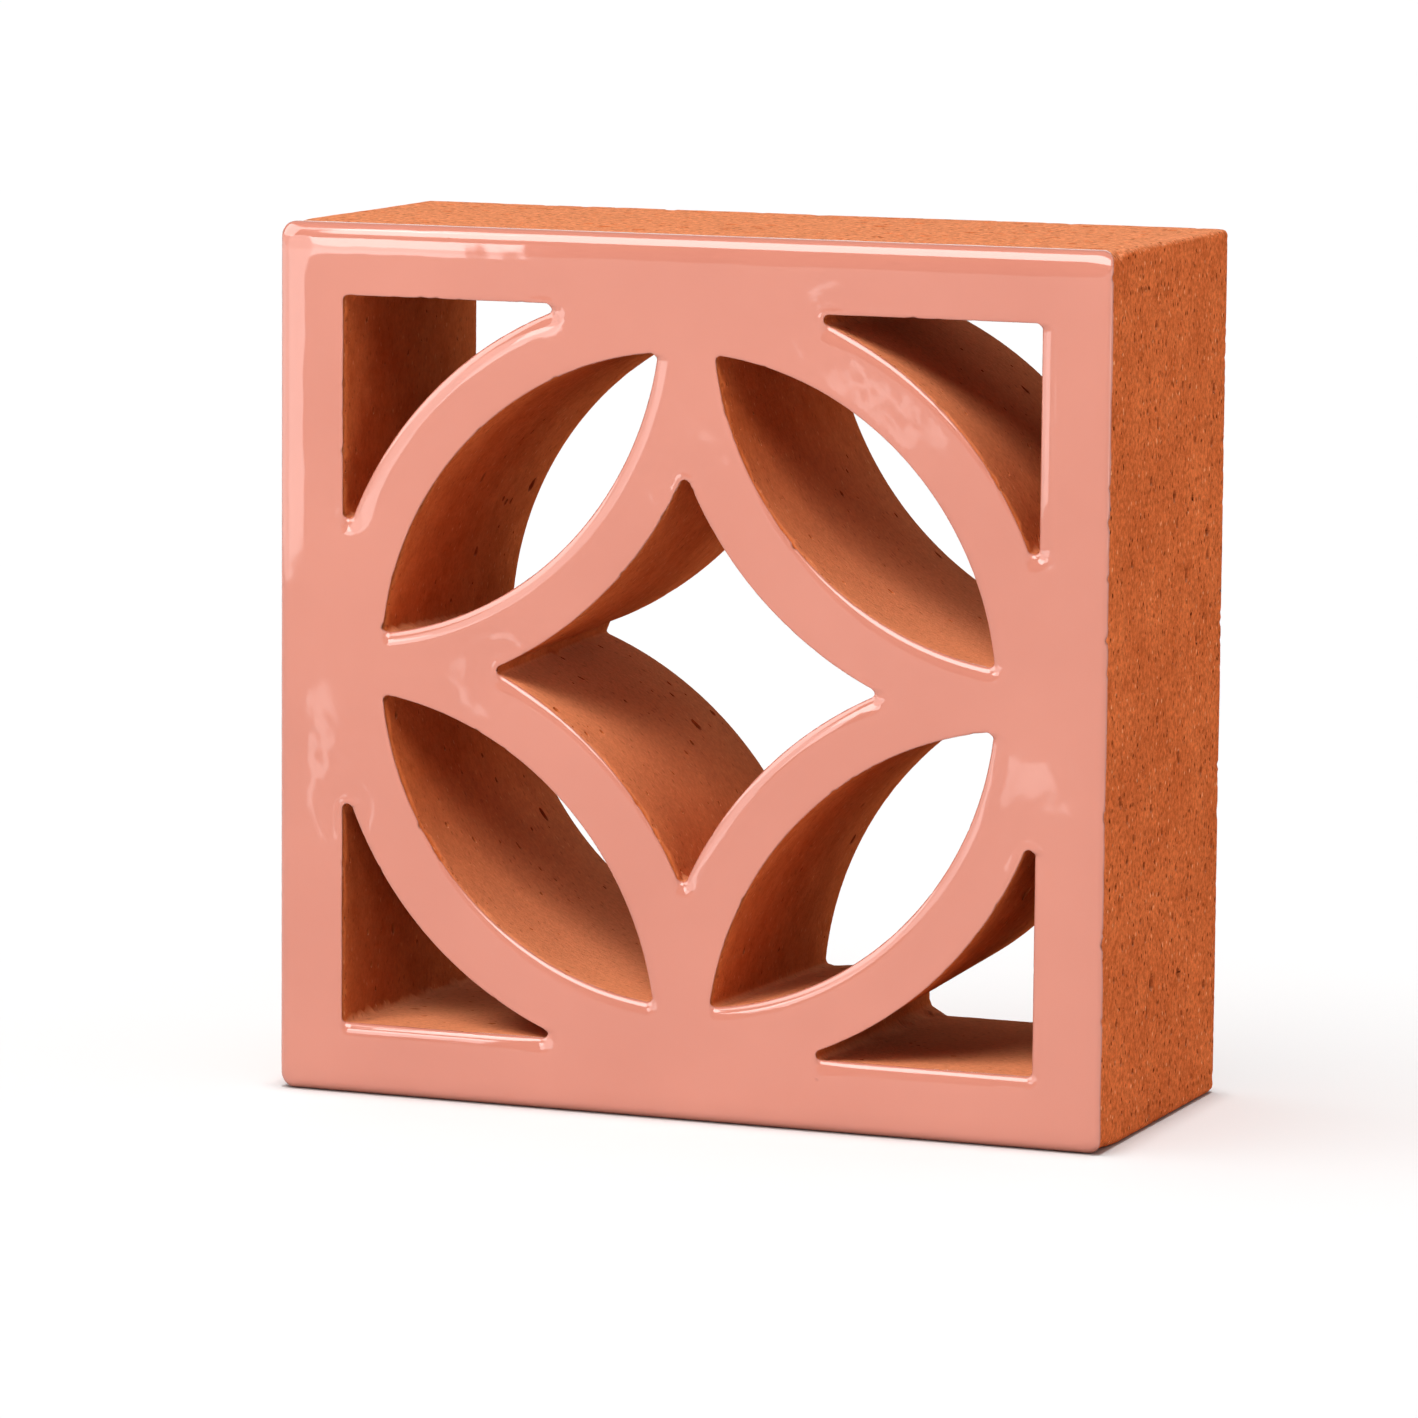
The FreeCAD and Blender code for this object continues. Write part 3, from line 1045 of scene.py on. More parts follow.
def clay_corner(depth):
    """Corner radius of the clay at a depth behind the face."""
    return FRONT_CORNER + (BACK_CORNER - FRONT_CORNER) * smooth_step(*CORNER_FADE, depth)


def from_corner(along):
    """How far a length along the outline lies from the middle of the nearest corner."""
    return np.abs(np.mod(along, outline.quarter_length) - MIDDLE_OF_CORNER)


def place_outside(points, pit_depth):
    """Places on the block's outer sides, at lengths along the outline and depths behind the face."""
    along, depth = points.T
    corner = clay_corner(depth)
    into = outline.between(along, CLAY_SET, corner)[1]
    bed = smooth_step(*BED_FADE, depth) * np.clip(into[:, 1], 0, 1) ** 4
    flat = outline.between(along, CLAY_SET - bed * (CLAY_SET - BOX_ROOM), corner)[0]
    places = on_block(flat, depth)
    near = 1 - smooth_step(CORNER_CHIPS, CORNER_CHIPS + CHIP_REACH, from_corner(along))
    near = np.maximum(near, 1 - smooth_step(BACK_CHIPS, BACK_CHIPS + CHIP_REACH, BLOCK_DEPTH - depth))
    out = smooth_step(*ROUGH_FADE, depth) * (uneven(places) - chips(places, near)) - pit_depth
    places[:, [0, 2]] -= out[:, None] * into
    return places


print("clay columns round the block", len(outline.at_tip))

# %% Clay in an opening
WALL_ROUGH_FADE = (4.0, 8.0)
WALL_CHIP_FADE = (0.8, 2.2)
WALL_CHIPS = 0.6


def wall_share(depth, section):
    """How far a depth lies from an opening's rim to the back, as a share of the sloping wall."""
    return (depth - section.round_depth) / BLOCK_DEPTH


def place_in_opening(opening, section):
    """A function like place_outside, for the walls of one opening."""

    def place(points, pit_depth):
        along, depth = points.T
        flat, into = opening.between(along, wall_share(depth, section), COAT)
        places = on_block(flat, depth)
        near = 1 - smooth_step(*WALL_CHIP_FADE, BLOCK_DEPTH - depth)
        rough = uneven(places) - WALL_CHIPS * chips(places, near)
        out = smooth_step(*WALL_ROUGH_FADE, depth) * rough - pit_depth
        places[:, [0, 2]] -= out[:, None] * into
        return places

    return place


print("the openings grow by", round(BACK_GROWTH, 2), "on each side to the back")

# %% Clay edge under the glaze
FRONT_STEP = 3
UNDER_COAT = 0.25  # the clay's face lies this much further under the coat than its walls do


def front_rows(loop, section, scale, set_in):
    """The clay's rounded edge under the glaze. Returns the wall's row, the flat's row and a depth."""
    rows = []
    first = int(np.argmin(section.wall))
    picked = [*range(first, len(section.run) - 1, FRONT_STEP), len(section.run) - 1]
    for k in picked:
        growth = section.growth[k] * scale + set_in - COAT * section.out_growth[k]
        depth = section.depth[k] * scale + BOX_ROOM - (COAT + UNDER_COAT) * section.out_depth[k]
        rows.append(clay_skin.add(on_block(loop.at(growth), depth)))
    clay_skin.strip(rows, loop.along, -section.run[picked])
    return rows[0], rows[-1], section.depth[first] + BOX_ROOM


front_into = clay_front.between(clay_front.along[:-1], 0.0)[1]
side_front = front_rows(clay_front, edge_section, edge_softness(front_into), BOX_ROOM)
print("the outer sides start at depth", round(side_front[2], 2))

# %% [markdown]
# ## The outer sides
# The four outer sides are bare clay, as the mould left it. They are one sheet that runs round the block,
# from the rounded edge under the glaze to a small rounding at the back. Its corners get closer columns of
# points, so that they stay round and can be chipped, and no pit lies on a corner.

# %% Back edge of the outer sides
BACK_EDGE = 1.5
ROUND_STEPS = 4
CORNER_TIGHTENS = 0.6
BACK_CHIP_FADE = 0.5
back_turn = np.linspace(0, math.pi / 2, ROUND_STEPS + 1)
side_rows = []
for turn in back_turn:
    depth = BLOCK_DEPTH - BACK_EDGE + BACK_EDGE * math.sin(turn)
    inset = BACK_EDGE * (1 - math.cos(turn))
    radius = BACK_CORNER + CORNER_TIGHTENS * inset
    flat, into = outline.between(outline.along[:-1], CLAY_SET + inset, radius)
    places = on_block(flat, depth)
    out = uneven(places) - chips(places, 1 - BACK_CHIP_FADE * turn)
    places[:, [0, 2]] -= (out * math.cos(turn))[:, None] * into
    places[:, 1] += np.minimum(out, 0) * math.sin(turn)
    side_rows.append(clay_skin.add(places))
clay_skin.strip(side_rows, outline.along, BLOCK_DEPTH - BACK_EDGE + BACK_EDGE * back_turn)
print("rows round the back edge", len(side_rows))

# %% Outer sides
SIDE_PITS = 2600
SIDE_STEP = 3.2
CORNER_STEP = 0.8
SIDE_MARGIN = 0.6
PITS_BEHIND_FACE = 4.0
PITS_BEFORE_BACK = 3.5
PITS_OFF_SEAM = 3.0
PITS_OFF_CORNER = 2.6
GRID_OFF_CORNER = 3.2
side_end = BLOCK_DEPTH - BACK_EDGE
corner_columns = outline.along[:-1][outline.at_tip]
depth_steps = np.arange(side_front[2] + 1.0, side_end - SIDE_MARGIN, CORNER_STEP)
corner_points = np.stack(np.meshgrid(corner_columns, depth_steps), 2).reshape(-1, 2)
pit_depths = (side_front[2] + PITS_BEHIND_FACE, BLOCK_DEPTH - PITS_BEFORE_BACK)
side_pits = scatter_pits(outline.length, pit_depths, SIDE_PITS, PITS_OFF_SEAM)
side_pits = [p for p in side_pits if from_corner(p[0]) > PITS_OFF_CORNER + p[2]]
side_grid = jittered_grid(outline.length, side_front[2] + SIDE_MARGIN, side_end - SIDE_MARGIN, SIDE_STEP)
side_grid = away_from_pits(side_grid[from_corner(side_grid[:, 0]) > GRID_OFF_CORNER], side_pits)
pitted_sheet(
    clay_skin,
    outline.length,
    (side_front[0], side_front[2]),
    (side_rows[0], side_end),
    np.vstack([corner_points, side_grid]),
    side_pits,
    place_outside,
    outline.along,
)
print("outer sides done, vertices", clay_skin.count, "pits", len(side_pits))

# %% [markdown]
# ## The walls of the openings
# The mould cores left smoother walls than the outer sides, with fewer pits, and with small dots just behind
# the rims. Each wall is a sheet of its own. Its corners keep columns of points from rim to back, because a
# corner can swell on its way, and the pits and the loose points stay clear of those columns.

# %% Back rims of the openings
BACK_RIM = 0.8
BACK_DEPTH = BLOCK_DEPTH - BACK_RIM
BACK_TURNS = (math.pi / 4, math.pi / 2)
BACK_GRAIN = [BACK_DEPTH, BACK_DEPTH + 0.6, BACK_DEPTH + 1.2]


def back_rim_rows(opening, place):
    """Adds the rows round the back rim of an opening, from its wall to the back of the block."""
    wall_end = np.stack([opening.along[:-1], np.full(len(opening.points), BACK_DEPTH)], 1)
    rows = [clay_skin.add(place(wall_end, 0.0))]
    for turn in BACK_TURNS:
        out = COAT + BACK_RIM * (1 - math.cos(turn))
        flat = opening.between(opening.along[:-1], wall_share(BACK_DEPTH, rim_section), out)[0]
        rows.append(clay_skin.add(on_block(flat, BACK_DEPTH + BACK_RIM * math.sin(turn))))
    clay_skin.strip(rows, opening.along, BACK_GRAIN)
    return rows


print("the walls end at depth", BACK_DEPTH)

# %% Pits and points of an opening's wall
PITS_PER_MM = 0.5
WALL_PIT_MARGIN = 2.0
WALL_OFF_SEAM = 1.8
RIM_PIT_SPACING = 7.0
RIM_PIT_DEPTH = 0.95
RIM_PIT_LENGTHS = (0.25, 0.5)
RIM_PIT_WIDTHS = (0.25, 0.4)
RIM_PIT_OFF_SEAM = 2.0
PITS_OFF_TIP = 0.3
PITS_APART = 1.6
WALL_STEP = 3.6
WALL_MARGIN = 0.4
GRID_OFF_TIP = 0.7


def wall_pits(opening, front_depth, tips):
    """Pits of one wall: scattered ones and a row behind the rim, clear of the corners and of each other."""
    depths = (front_depth + WALL_PIT_MARGIN, BACK_DEPTH - WALL_PIT_MARGIN)
    pits = scatter_pits(opening.length, depths, int(PITS_PER_MM * opening.length), WALL_OFF_SEAM)
    ends = (RIM_PIT_OFF_SEAM, opening.length - RIM_PIT_OFF_SEAM)
    for along in rng.uniform(*ends, int(opening.length / RIM_PIT_SPACING)):
        length = rng.uniform(*RIM_PIT_LENGTHS)
        pits.append((along, front_depth + RIM_PIT_DEPTH, length, rng.uniform(*RIM_PIT_WIDTHS), 0.0))
    pits = [p for p in pits if np.abs(tips - p[0]).min() > PIT_APART * p[2] + PITS_OFF_TIP]
    kept = []
    for i, p in enumerate(pits):
        if all(math.hypot(p[0] - q[0], p[1] - q[1]) > PITS_APART for q in pits[:i]):
            kept.append(p)
    return kept


def wall_points(opening, front_depth, tips, pits):
    """Loose points of one wall, clear of its corners, its seam and its pits."""
    grid = jittered_grid(opening.length, front_depth + WALL_MARGIN, BACK_DEPTH - WALL_MARGIN, WALL_STEP)
    grid = grid[[np.abs(tips - along).min() > GRID_OFF_TIP for along in grid[:, 0]]]
    grid = grid[(grid[:, 0] > WALL_MARGIN) & (grid[:, 0] < opening.length - WALL_MARGIN)]
    return away_from_pits(grid, pits)


print("a pit for each", 1 / PITS_PER_MM, "of wall, and one for each", RIM_PIT_SPACING, "of rim")

# %% Opening walls
CLAY_SPACING = 1.6
TIP_FRONT = 2.0
TIP_BACK = 1.0
TIP_STEP = 5.0
clay_skin.inside_now = 1.0
flat_fronts = [side_front[1]]
flat_backs = [side_rows[-1]]
for opening in all_openings(CLAY_SPACING):
    front = front_rows(opening, rim_section, rim_softness(opening.into), 0.0)
    place = place_in_opening(opening, rim_section)
    rows = back_rim_rows(opening, place)
    tips = opening.along[:-1][opening.at_tip]
    steps = np.arange(front[2] + TIP_FRONT, BACK_DEPTH - TIP_BACK, TIP_STEP)
    tip_points = np.stack(np.meshgrid(tips[tips > 0], steps), 2).reshape(-1, 2)
    pits = wall_pits(opening, front[2], tips)
    grid = wall_points(opening, front[2], tips, pits)
    pitted_sheet(
        clay_skin,
        opening.length,
        (front[0], front[2]),
        (rows[0], BACK_DEPTH),
        np.vstack([tip_points, grid]),
        pits,
        place,
        opening.along,
    )
    flat_fronts.append(front[1])
    flat_backs.append(rows[-1])
print("walls done, vertices", clay_skin.count)

# %% [markdown]
# ## The front and the back of the clay
# Under the glaze the clay's front is never seen, so it is filled with as few triangles as will close the
# mesh. The back is bare clay with a low swell. It needs points of its own, because a triangle can't bend.

# %% Hidden front and back of the clay
BACK_SWELL = 0.06
BACK_SPACING = 3.0
BACK_KEEP_OFF = 1.2
clay_skin.inside_now = 0.0


def back_height(points):
    """Depth of the block's back behind its front."""
    return BLOCK_DEPTH - BACK_SWELL + BACK_SWELL * smooth_noise(points, 15.0, 9)


flat_between(clay_skin, flat_fronts)
flat_between(clay_skin, flat_backs, BACK_SPACING, back_height, BACK_KEEP_OFF)
print("clay vertices", clay_skin.count)

# %% [markdown]
# ## Finishes
# Both finishes are node materials, with no pictures: noise and cells give the colour its life. A few helpers
# make the nodes, so that each material below reads as a list of layers, from the body colour up.

# %% Helpers for finishes
BLACK = (0.0, 0.0, 0.0)
WHITE = (1.0, 1.0, 1.0)


def grey(level):
    """A colour with three equal parts."""
    return (level, level, level)


def new_material(name):
    """A material with a node tree, its tree and its main shader."""
    material = bpy.data.materials.new(name)
    material.use_nodes = True
    return material, material.node_tree, material.node_tree.nodes["Principled BSDF"]


def node(tree, kind, **settings):
    """A new node with its inputs or properties set."""
    made = tree.nodes.new(kind)
    for key, value in settings.items():
        if hasattr(made, key):
            setattr(made, key, value)
        else:
            made.inputs[key.replace("_", " ").title()].default_value = value
    return made


def cloudy(tree, place, scale, **settings):
    """Noise from 0 to 1 at a place."""
    made = node(tree, "ShaderNodeTexNoise", scale=scale, **settings)
    tree.links.new(place, made.inputs["Vector"])
    return made.outputs["Fac"]


def carried(tree, name, output="Fac"):
    """A value that the mesh carries in an attribute."""
    return node(tree, "ShaderNodeAttribute", attribute_name=name).outputs[output]


def ramp(tree, source, stops):
    """A colour ramp fed by source. stops is a list of (position, colour)."""
    made = tree.nodes.new("ShaderNodeValToRGB")
    elements = made.color_ramp.elements
    while len(elements) < len(stops):
        elements.new(0.5)
    for element, (position, colour) in zip(elements, stops):
        element.position = position
        element.color = (*colour, 1.0)
    tree.links.new(source, made.inputs["Fac"])
    return made.outputs["Color"]


print("a middle grey", grey(0.5))

# %% Helpers that join layers


def mixed(tree, factor, first, second):
    """A blend of two colours by a factor socket."""
    made = node(tree, "ShaderNodeMix", data_type="RGBA")
    tree.links.new(factor, made.inputs["Factor"])
    for socket, colour in ((made.inputs[6], first), (made.inputs[7], second)):
        if isinstance(colour, tuple):
            socket.default_value = (*colour, 1.0)
        else:
            tree.links.new(colour, socket)
    return made.outputs[2]


def times(tree, first, second):
    """The product of two sockets."""
    made = node(tree, "ShaderNodeMath", operation="MULTIPLY")
    tree.links.new(first, made.inputs[0])
    tree.links.new(second, made.inputs[1])
    return made.outputs["Value"]


def shaded(tree, colour, shade):
    """A colour multiplied by a shade."""
    made = node(tree, "ShaderNodeMix", data_type="RGBA", blend_type="MULTIPLY")
    made.inputs["Factor"].default_value = 1.0
    tree.links.new(colour, made.inputs[6])
    tree.links.new(shade, made.inputs[7])
    return made.outputs[2]


print("materials so far", len(bpy.data.materials))

# %% [markdown]
# ## The finish of the glaze
# The glaze is a salmon glass, a little thicker in places, so its colour drifts slowly over the face. It is
# almost as smooth as a mirror. Where the coat is nicked or ends, the skin carries a painted shade, and there
# the colour goes over to bare clay darkened by that painted shade.

# %% Glaze
GLAZE_DEEP = (0.430, 0.150, 0.104)
GLAZE_PALE = (0.460, 0.166, 0.116)
# bare clay with painted shade, for the coat's end and its nicks
BARE_CLAY_PAINTED_SHADE = (0.12, 0.03, 0.01)
GLAZE_GLOSS = (0.03, 0.05)
GLAZE_IOR = 1.6


def glaze_material():
    """Glossy salmon glaze."""
    material, tree, shader = new_material("salmon_glaze")
    place = node(tree, "ShaderNodeTexCoord").outputs["Object"]
    cloud = cloudy(tree, place, 22.0, detail=3.0)
    body = ramp(tree, cloud, [(0.3, GLAZE_DEEP), (0.7, GLAZE_PALE)])
    # painted shade: where the skin carries it, the colour goes over to darkened bare clay
    tree.links.new(mixed(tree, carried(tree, "painted_shade"), body, BARE_CLAY_PAINTED_SHADE), shader.inputs["Base Color"])
    gloss = ramp(tree, cloud, [(0.3, grey(GLAZE_GLOSS[0])), (0.7, grey(GLAZE_GLOSS[1]))])
    tree.links.new(gloss, shader.inputs["Roughness"])
    shader.inputs["IOR"].default_value = GLAZE_IOR
    return material


salmon_glaze = glaze_material()
print(salmon_glaze.name, "nodes", len(salmon_glaze.node_tree.nodes))

# %% [markdown]
# ## The finish of the clay
# Bare fired clay is dull and never one colour. It is mottled, it is crossed by short pale and dark strokes in
# the way the clay was pressed, and pale dust with a painted sheen lies on what faces up. The strokes are
# cells of a Voronoi texture, stretched along the grain that the skin carries, of which only some are drawn.
# The walls of the openings are smoother and darkened by painted shade, so an attribute tells them from the
# outside.

# %% Strokes in the clay


def wandering(tree, grain, size, reach):
    """The grain's coordinates, moved about by noise so that what follows them is irregular."""
    drift = node(tree, "ShaderNodeTexNoise", scale=1.0 / size, detail=3.0)
    tree.links.new(grain, drift.inputs["Vector"])
    moved = node(tree, "ShaderNodeVectorMath", operation="MULTIPLY_ADD")
    tree.links.new(drift.outputs["Color"], moved.inputs[0])
    moved.inputs[1].default_value = (reach, reach, 0.0)
    tree.links.new(grain, moved.inputs[2])
    return moved.outputs["Vector"]


def thin_strokes(tree, grain, scale, thick, rare):
    """A mask of short strokes along the grain: cells of a Voronoi texture, of which some are drawn."""
    stretch = node(tree, "ShaderNodeMapping")
    stretch.inputs["Scale"].default_value = (*scale, 1.0)
    tree.links.new(grain, stretch.inputs["Vector"])
    cells = node(tree, "ShaderNodeTexVoronoi", scale=1.0)
    tree.links.new(stretch.outputs["Vector"], cells.inputs["Vector"])
    shape = ramp(tree, cells.outputs["Distance"], [(0.5 * thick, WHITE), (thick, BLACK)])
    luck = node(tree, "ShaderNodeSeparateColor")
    tree.links.new(cells.outputs["Color"], luck.inputs["Color"])
    drawn = ramp(tree, luck.outputs["Red"], [(rare, BLACK), (min(rare + 0.1, 1.0), WHITE)])
    return times(tree, shape, drawn)


PALE_CELLS = (0.34, 0.75)
DARK_CELLS = (0.42, 0.70)
print("pale strokes lie about", round(1 / PALE_CELLS[0], 1), "by", round(1 / PALE_CELLS[1], 1), "apart")

# %% Clay
CLAY_DEEP = (0.50, 0.108, 0.030)
CLAY_PALE = (0.60, 0.142, 0.042)
CLAY_PATCH = (0.40, 0.075, 0.018)
# pale dust with a painted sheen, for what faces up
CLAY_DUST_AND_SHEEN = (0.66, 0.25, 0.118)
PALE_STROKE = (0.78, 0.32, 0.145)
DARK_STROKE = (0.10, 0.019, 0.005)
# painted shade for the floors of pits
PIT_PAINTED_SHADE = (0.03, 0.006, 0.002)
# painted shade: how far the colour of the openings' walls is darkened
WALL_PAINTED_SHADE = 0.86
WALL_MARKS = 0.35  # how much of the strokes and grains the openings' walls show
CLAY_ROUGHNESS = 0.9
GRAIN_HEIGHT = 0.0005


def clay_material():
    """Bare fired clay: mottled and stroked outside, smoother and with painted shade inside, with pale dust
    and painted sheen on top.
    """
    material, tree, shader = new_material("fired_clay")
    grain = wandering(tree, carried(tree, "grain", "Vector"), 1.1, 0.8)
    inner = carried(tree, "inner")
    place = node(tree, "ShaderNodeTexCoord").outputs["Object"]
    rise = node(tree, "ShaderNodeSeparateXYZ")
    tree.links.new(node(tree, "ShaderNodeNewGeometry").outputs["Normal"], rise.inputs["Vector"])
    colour = ramp(tree, cloudy(tree, place, 70.0, detail=4.0), [(0.3, CLAY_DEEP), (0.7, CLAY_PALE)])
    patch = ramp(tree, cloudy(tree, place, 240.0, detail=3.0), [(0.45, BLACK), (0.72, grey(0.45))])
    colour = mixed(tree, patch, colour, CLAY_PATCH)
    # painted shade darkens the walls of the openings
    colour = shaded(tree, colour, ramp(tree, inner, [(0.0, WHITE), (1.0, grey(WALL_PAINTED_SHADE))]))
    # dust and painted sheen: what faces up is paled, partly as dust and partly as painted sheen
    dust_and_sheen = ramp(tree, rise.outputs["Z"], [(0.35, BLACK), (0.95, grey(0.75))])
    colour = mixed(tree, dust_and_sheen, colour, CLAY_DUST_AND_SHEEN)
    outside = ramp(tree, inner, [(0.0, WHITE), (1.0, grey(WALL_MARKS))])
    fine = cloudy(tree, place, 900.0, detail=4.0, roughness=0.7)
    grains = ramp(tree, fine, [(0.34, grey(0.68)), (0.66, grey(1.30))])
    colour = mixed(tree, outside, colour, shaded(tree, colour, grains))
    pale = thin_strokes(tree, grain, PALE_CELLS, 0.20, 0.5)
    colour = mixed(tree, times(tree, pale, outside), colour, PALE_STROKE)
    dark = thin_strokes(tree, grain, DARK_CELLS, 0.26, 0.5)
    colour = mixed(tree, times(tree, dark, outside), colour, DARK_STROKE)
    # painted shade on the floors of pits
    colour = mixed(tree, carried(tree, "painted_shade"), colour, PIT_PAINTED_SHADE)
    tree.links.new(colour, shader.inputs["Base Color"])
    shader.inputs["Roughness"].default_value = CLAY_ROUGHNESS
    shader.inputs["Specular IOR Level"].default_value = 0.0
    bump = node(tree, "ShaderNodeBump", strength=0.5, distance=GRAIN_HEIGHT)
    tree.links.new(fine, bump.inputs["Height"])
    tree.links.new(bump.outputs["Normal"], shader.inputs["Normal"])
    return material


fired_clay = clay_material()
print(fired_clay.name, "nodes", len(fired_clay.node_tree.nodes))

# %% [markdown]
# ## The pieces
# The two skins become objects. Both belong to the one rigid body of the block, and the clay takes the place
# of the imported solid. The counts below show that each mesh is closed and how many triangles it has.

# %% Pieces


def finished_piece(skin, name, material):
    """A skin as an object in the scene, with its faces turned outwards."""
    mesh = skin.mesh(name)
    mesh.materials.append(material)
    piece = bpy.data.objects.new(name, mesh)
    bpy.context.scene.collection.objects.link(piece)
    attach(piece, "root")
    return piece


clay_body = finished_piece(clay_skin, "clay_body", fired_clay)
face_glaze = finished_piece(glaze_skin, "face_glaze", salmon_glaze)
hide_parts("screen_block")
for piece in (clay_body, face_glaze):
    piece.data.calc_loop_triangles()
    print(piece.name, "triangles", len(piece.data.loop_triangles))

# %% [markdown]
# ## The floor and the sky
# The block stands on a plain pale floor, so wide that its edge is out of sight. The floor has no gloss, so it
# mirrors none of the cards below. The sky is a dim white, a little brighter overhead, which keeps the
# shadows open.

# %% Floor
FLOOR_SIZE = 120.0
FLOOR_WHITE = 0.80
half_floor = FLOOR_SIZE / 2
floor_corners = [(sx * half_floor, sz * half_floor, 0) for sx, sz in ((-1, -1), (1, -1), (1, 1), (-1, 1))]
floor_mesh = bpy.data.meshes.new("floor")
floor_mesh.from_pydata(floor_corners, [], [(0, 1, 2, 3)])
floor_material, floor_tree, floor_shader = new_material("pale_floor")
floor_shader.inputs["Base Color"].default_value = (*grey(FLOOR_WHITE), 1.0)
floor_shader.inputs["Roughness"].default_value = 0.9
floor_shader.inputs["Specular IOR Level"].default_value = 0.0
floor_mesh.materials.append(floor_material)
floor = bpy.data.objects.new("floor", floor_mesh)
bpy.context.scene.collection.objects.link(floor)
print("floor", FLOOR_SIZE, "metres across")

# %% Sky
SKY_HORIZON = 0.20
SKY_ZENITH = 0.16  # what is added straight overhead
world = bpy.data.worlds.new("studio")
world.use_nodes = True
sky = world.node_tree
background = sky.nodes["Background"]
background.inputs["Color"].default_value = (1.0, 1.0, 1.0, 1.0)
direction = sky.nodes.new("ShaderNodeTexCoord")
parts = sky.nodes.new("ShaderNodeSeparateXYZ")
rise = sky.nodes.new("ShaderNodeMath")
glow = sky.nodes.new("ShaderNodeMath")
sky.links.new(direction.outputs["Generated"], parts.inputs["Vector"])
rise.operation = "POWER"
rise.inputs[1].default_value = 2.0
sky.links.new(parts.outputs["Z"], rise.inputs[0])
glow.operation = "MULTIPLY_ADD"
glow.inputs[1].default_value = SKY_ZENITH
glow.inputs[2].default_value = SKY_HORIZON
sky.links.new(rise.outputs["Value"], glow.inputs[0])
sky.links.new(glow.outputs["Value"], background.inputs["Strength"])
bpy.context.scene.world = world
bpy.context.scene.view_settings.view_transform = "Standard"
print("sky from", SKY_HORIZON, "to", SKY_HORIZON + SKY_ZENITH)

# %% [markdown]
# ## The lights
# A studio lights a glossy thing in two ways at once: large soft lights for its colour, and cards for its
# highlights. Here they are apart, so that each can be set by itself. Softboxes light the block alone and
# don't show in the gloss. Reflectors show only in the gloss, and their edges draw the bright lines along the
# rims and the band at the left. The floor has its own light from above, and a weaker, wider one that gives
# the faint shadow to the right.

# %% Helpers for lights


def softbox(name, place, target, size, glow):
    """A soft rectangular light that faces its target. glow is how bright its own face is."""
    data = bpy.data.lights.new(name, "AREA")
    data.shape = "RECTANGLE"
    data.size, data.size_y = size
    data.energy = glow * math.pi * size[0] * size[1]
    light = bpy.data.objects.new(name, data)
    light.location = place
    light.rotation_euler = (Vector(target) - Vector(place)).to_track_quat("-Z", "Y").to_euler()
    light.visible_camera = False
    bpy.context.scene.collection.objects.link(light)
    return light


def reflector(name, place, target, size, glow):
    """A bright card that shows only in the gloss of the glaze."""
    light = softbox(name, place, target, size, glow)
    light.visible_diffuse = False


def light_only(light, pieces):
    """Lets a light reach the given pieces and nothing else, and keeps it out of the gloss."""
    reached = bpy.data.collections.new(light.name + "_reaches")
    for piece in pieces:
        reached.objects.link(piece)
    light.light_linking.receiver_collection = reached
    light.visible_glossy = False


print("lights so far", len(bpy.data.lights))

# %% Light on the floor
FLOOR_LIGHTS = [  # strength, width in degrees, and the way the light falls
    (2.2, 4.0, (0.0, 0.0, -1.0)),
    (1.0, 60.0, (0.35, 0.25, -1.0)),
]
for strength, width, way in FLOOR_LIGHTS:
    floor_data = bpy.data.lights.new("floor_light", "SUN")
    floor_data.energy = strength
    floor_data.angle = math.radians(width)
    floor_light = bpy.data.objects.new("floor_light", floor_data)
    floor_light.rotation_euler = Vector(way).to_track_quat("-Z", "Y").to_euler()
    bpy.context.scene.collection.objects.link(floor_light)
    light_only(floor_light, [floor])
print("floor lights", len(FLOOR_LIGHTS))

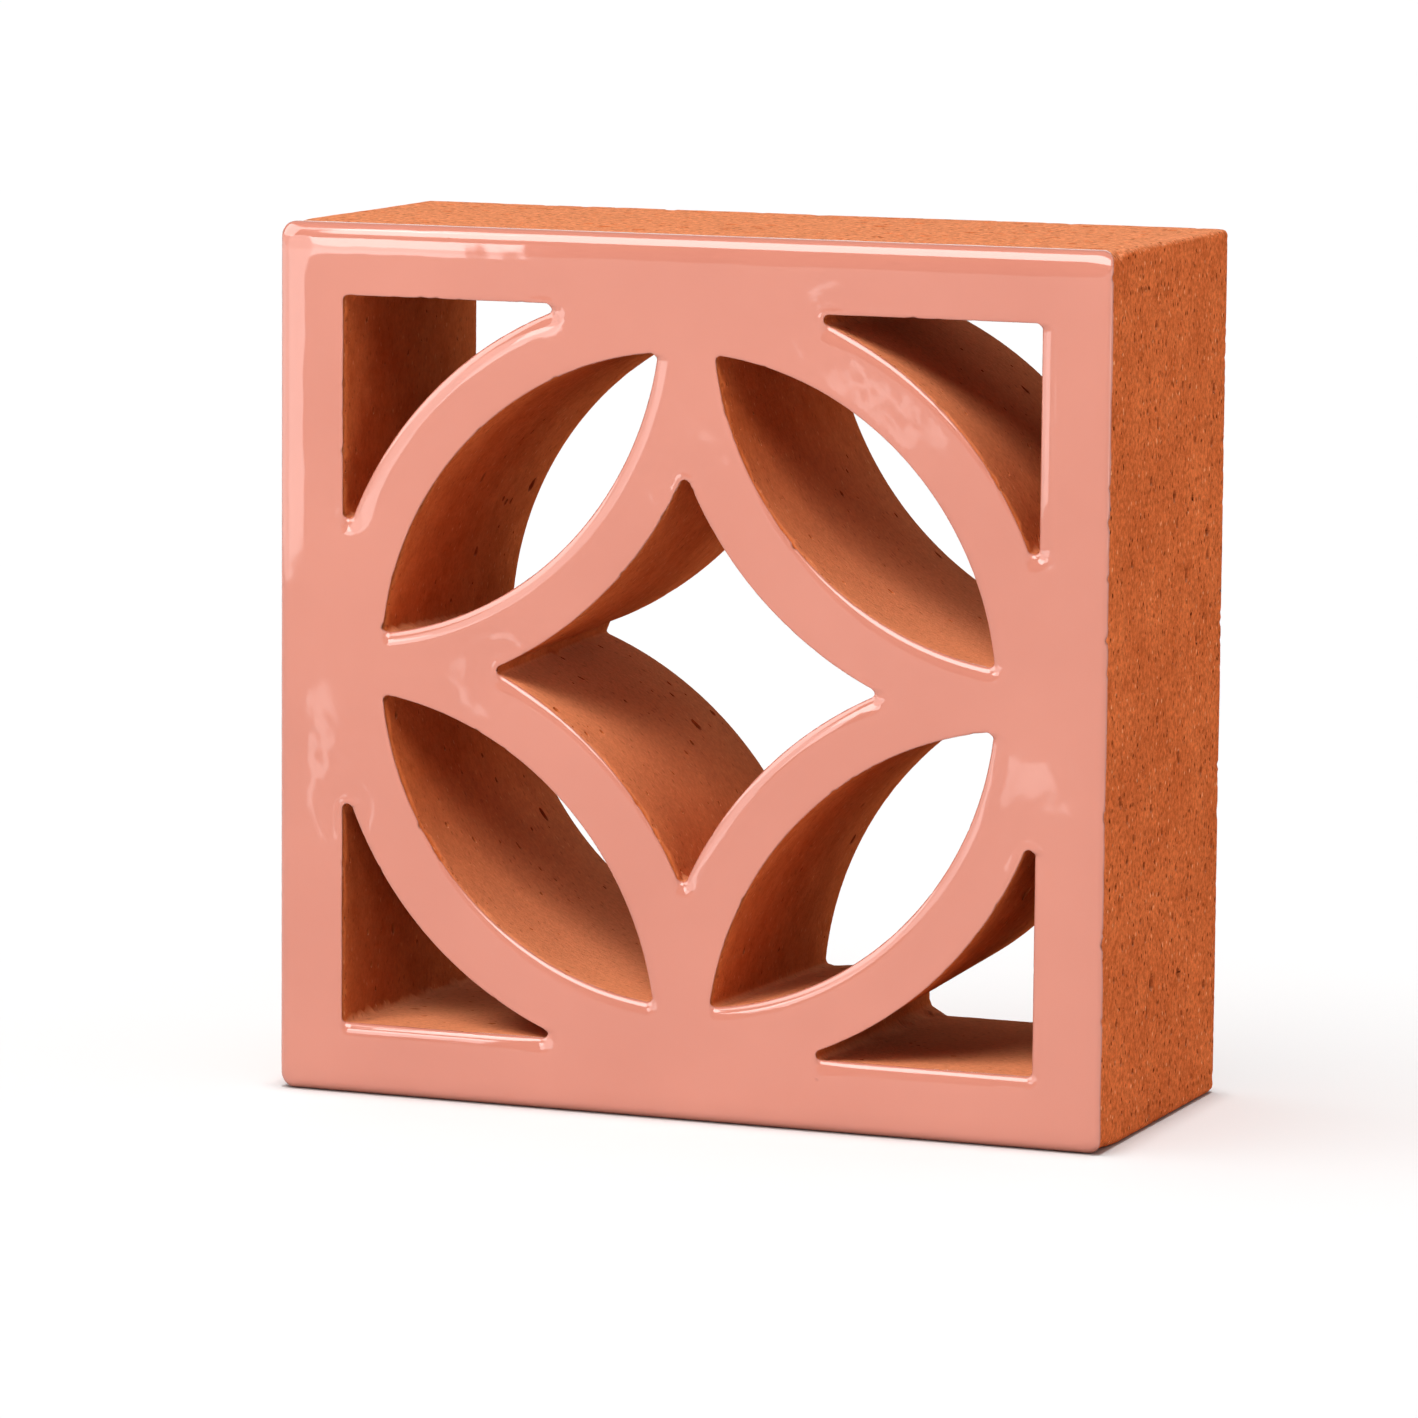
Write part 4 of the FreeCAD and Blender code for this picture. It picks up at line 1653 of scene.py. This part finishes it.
# %% Lights on the block
SOFTBOXES = [  # name, place, target, size and glow, in metres
    ("key", (-0.25, -1.70, 1.80), (0, 0, 0.1), (1.9, 1.0), 15.0),
    ("right_fill", (1.6, -0.5, 0.5), (0.095, 0, 0.1), (1.0, 1.0), 2.2),
    ("left_fill", (-0.7, -1.3, 0.12), (0, 0, 0.05), (0.8, 0.4), 3.4),
    ("back_fill", (0.9, 1.5, 0.6), (0, 0, 0.1), (1.2, 1.0), 1.5),
]
REFLECTORS = [
    ("left_panel_near", (-0.698, -0.868, 0.20), (0.172, -0.372, 0.20), (0.393, 0.40), 2.8),
    ("left_panel_far", (-1.022, -0.299, 0.20), (-0.152, 0.197, 0.20), (0.917, 0.40), 1.6),
    ("left_edge_low", (-0.5485, -1.0665, 0.185), (-0.0985, -0.1765, 0.185), (0.118, 0.12), 4.5),
    ("left_edge_high", (-0.5485, -1.0665, 0.325), (-0.0985, -0.1765, 0.325), (0.118, 0.16), 8.0),
    ("left_top", (-0.95, -0.45, 0.78), (0, 0, 0.15), (1.0, 0.8), 5.0),
    ("front_boom", (-0.1, -0.95, 1.05), (0, 0, 0.1), (1.1, 0.9), 8.0),
    ("right_strip", (0.95, -0.8, 0.45), (0, 0, 0.45), (0.2, 0.9), 3.0),
    ("back_wall", (0, 3.0, 1.2), (0, 0, 1.2), (8.0, 2.4), 0.9),
]
for settings in SOFTBOXES:
    light_only(softbox(*settings), [clay_body, face_glaze])
for settings in REFLECTORS:
    reflector(*settings)
print("softboxes", len(SOFTBOXES), "reflectors", len(REFLECTORS))

# %% Small cards
PATCH_GLOW = 1.7
PATCHES = [  # places on the face that mirror a small card, how far off it stands, and its size
    ((37.0, 69.0), 0.9, (0.012, 0.012)),
    ((43.0, 63.0), 0.9, (0.012, 0.016)),
    ((51.0, 57.0), 0.9, (0.010, 0.012)),
    ((3.0, 50.0), 0.9, (0.006, 0.012)),
    ((78.0, -18.0), 0.35, (0.014, 0.012)),
    ((-87.0, -20.0), 0.35, (0.006, 0.036)),
    ((-47.0, -3.0), 0.45, (0.006, 0.008)),
]


def mirrored_card(name, place, away, size, glow):
    """A small card, set where a flat face would mirror it from a place on it towards the front camera."""
    on_face = Vector((place[0] * MM, cad_low.y, (HALF_SIDE + place[1]) * MM))
    seen_from = (CAMERA_PLACE - on_face).normalized()
    card = on_face + away * Vector((-seen_from.x, seen_from.y, -seen_from.z))
    reflector(name, card, on_face, size, glow)


for k, (place, away, size) in enumerate(PATCHES):
    mirrored_card("card_%d" % k, place, away, size, PATCH_GLOW)
print("cards", len(PATCHES))
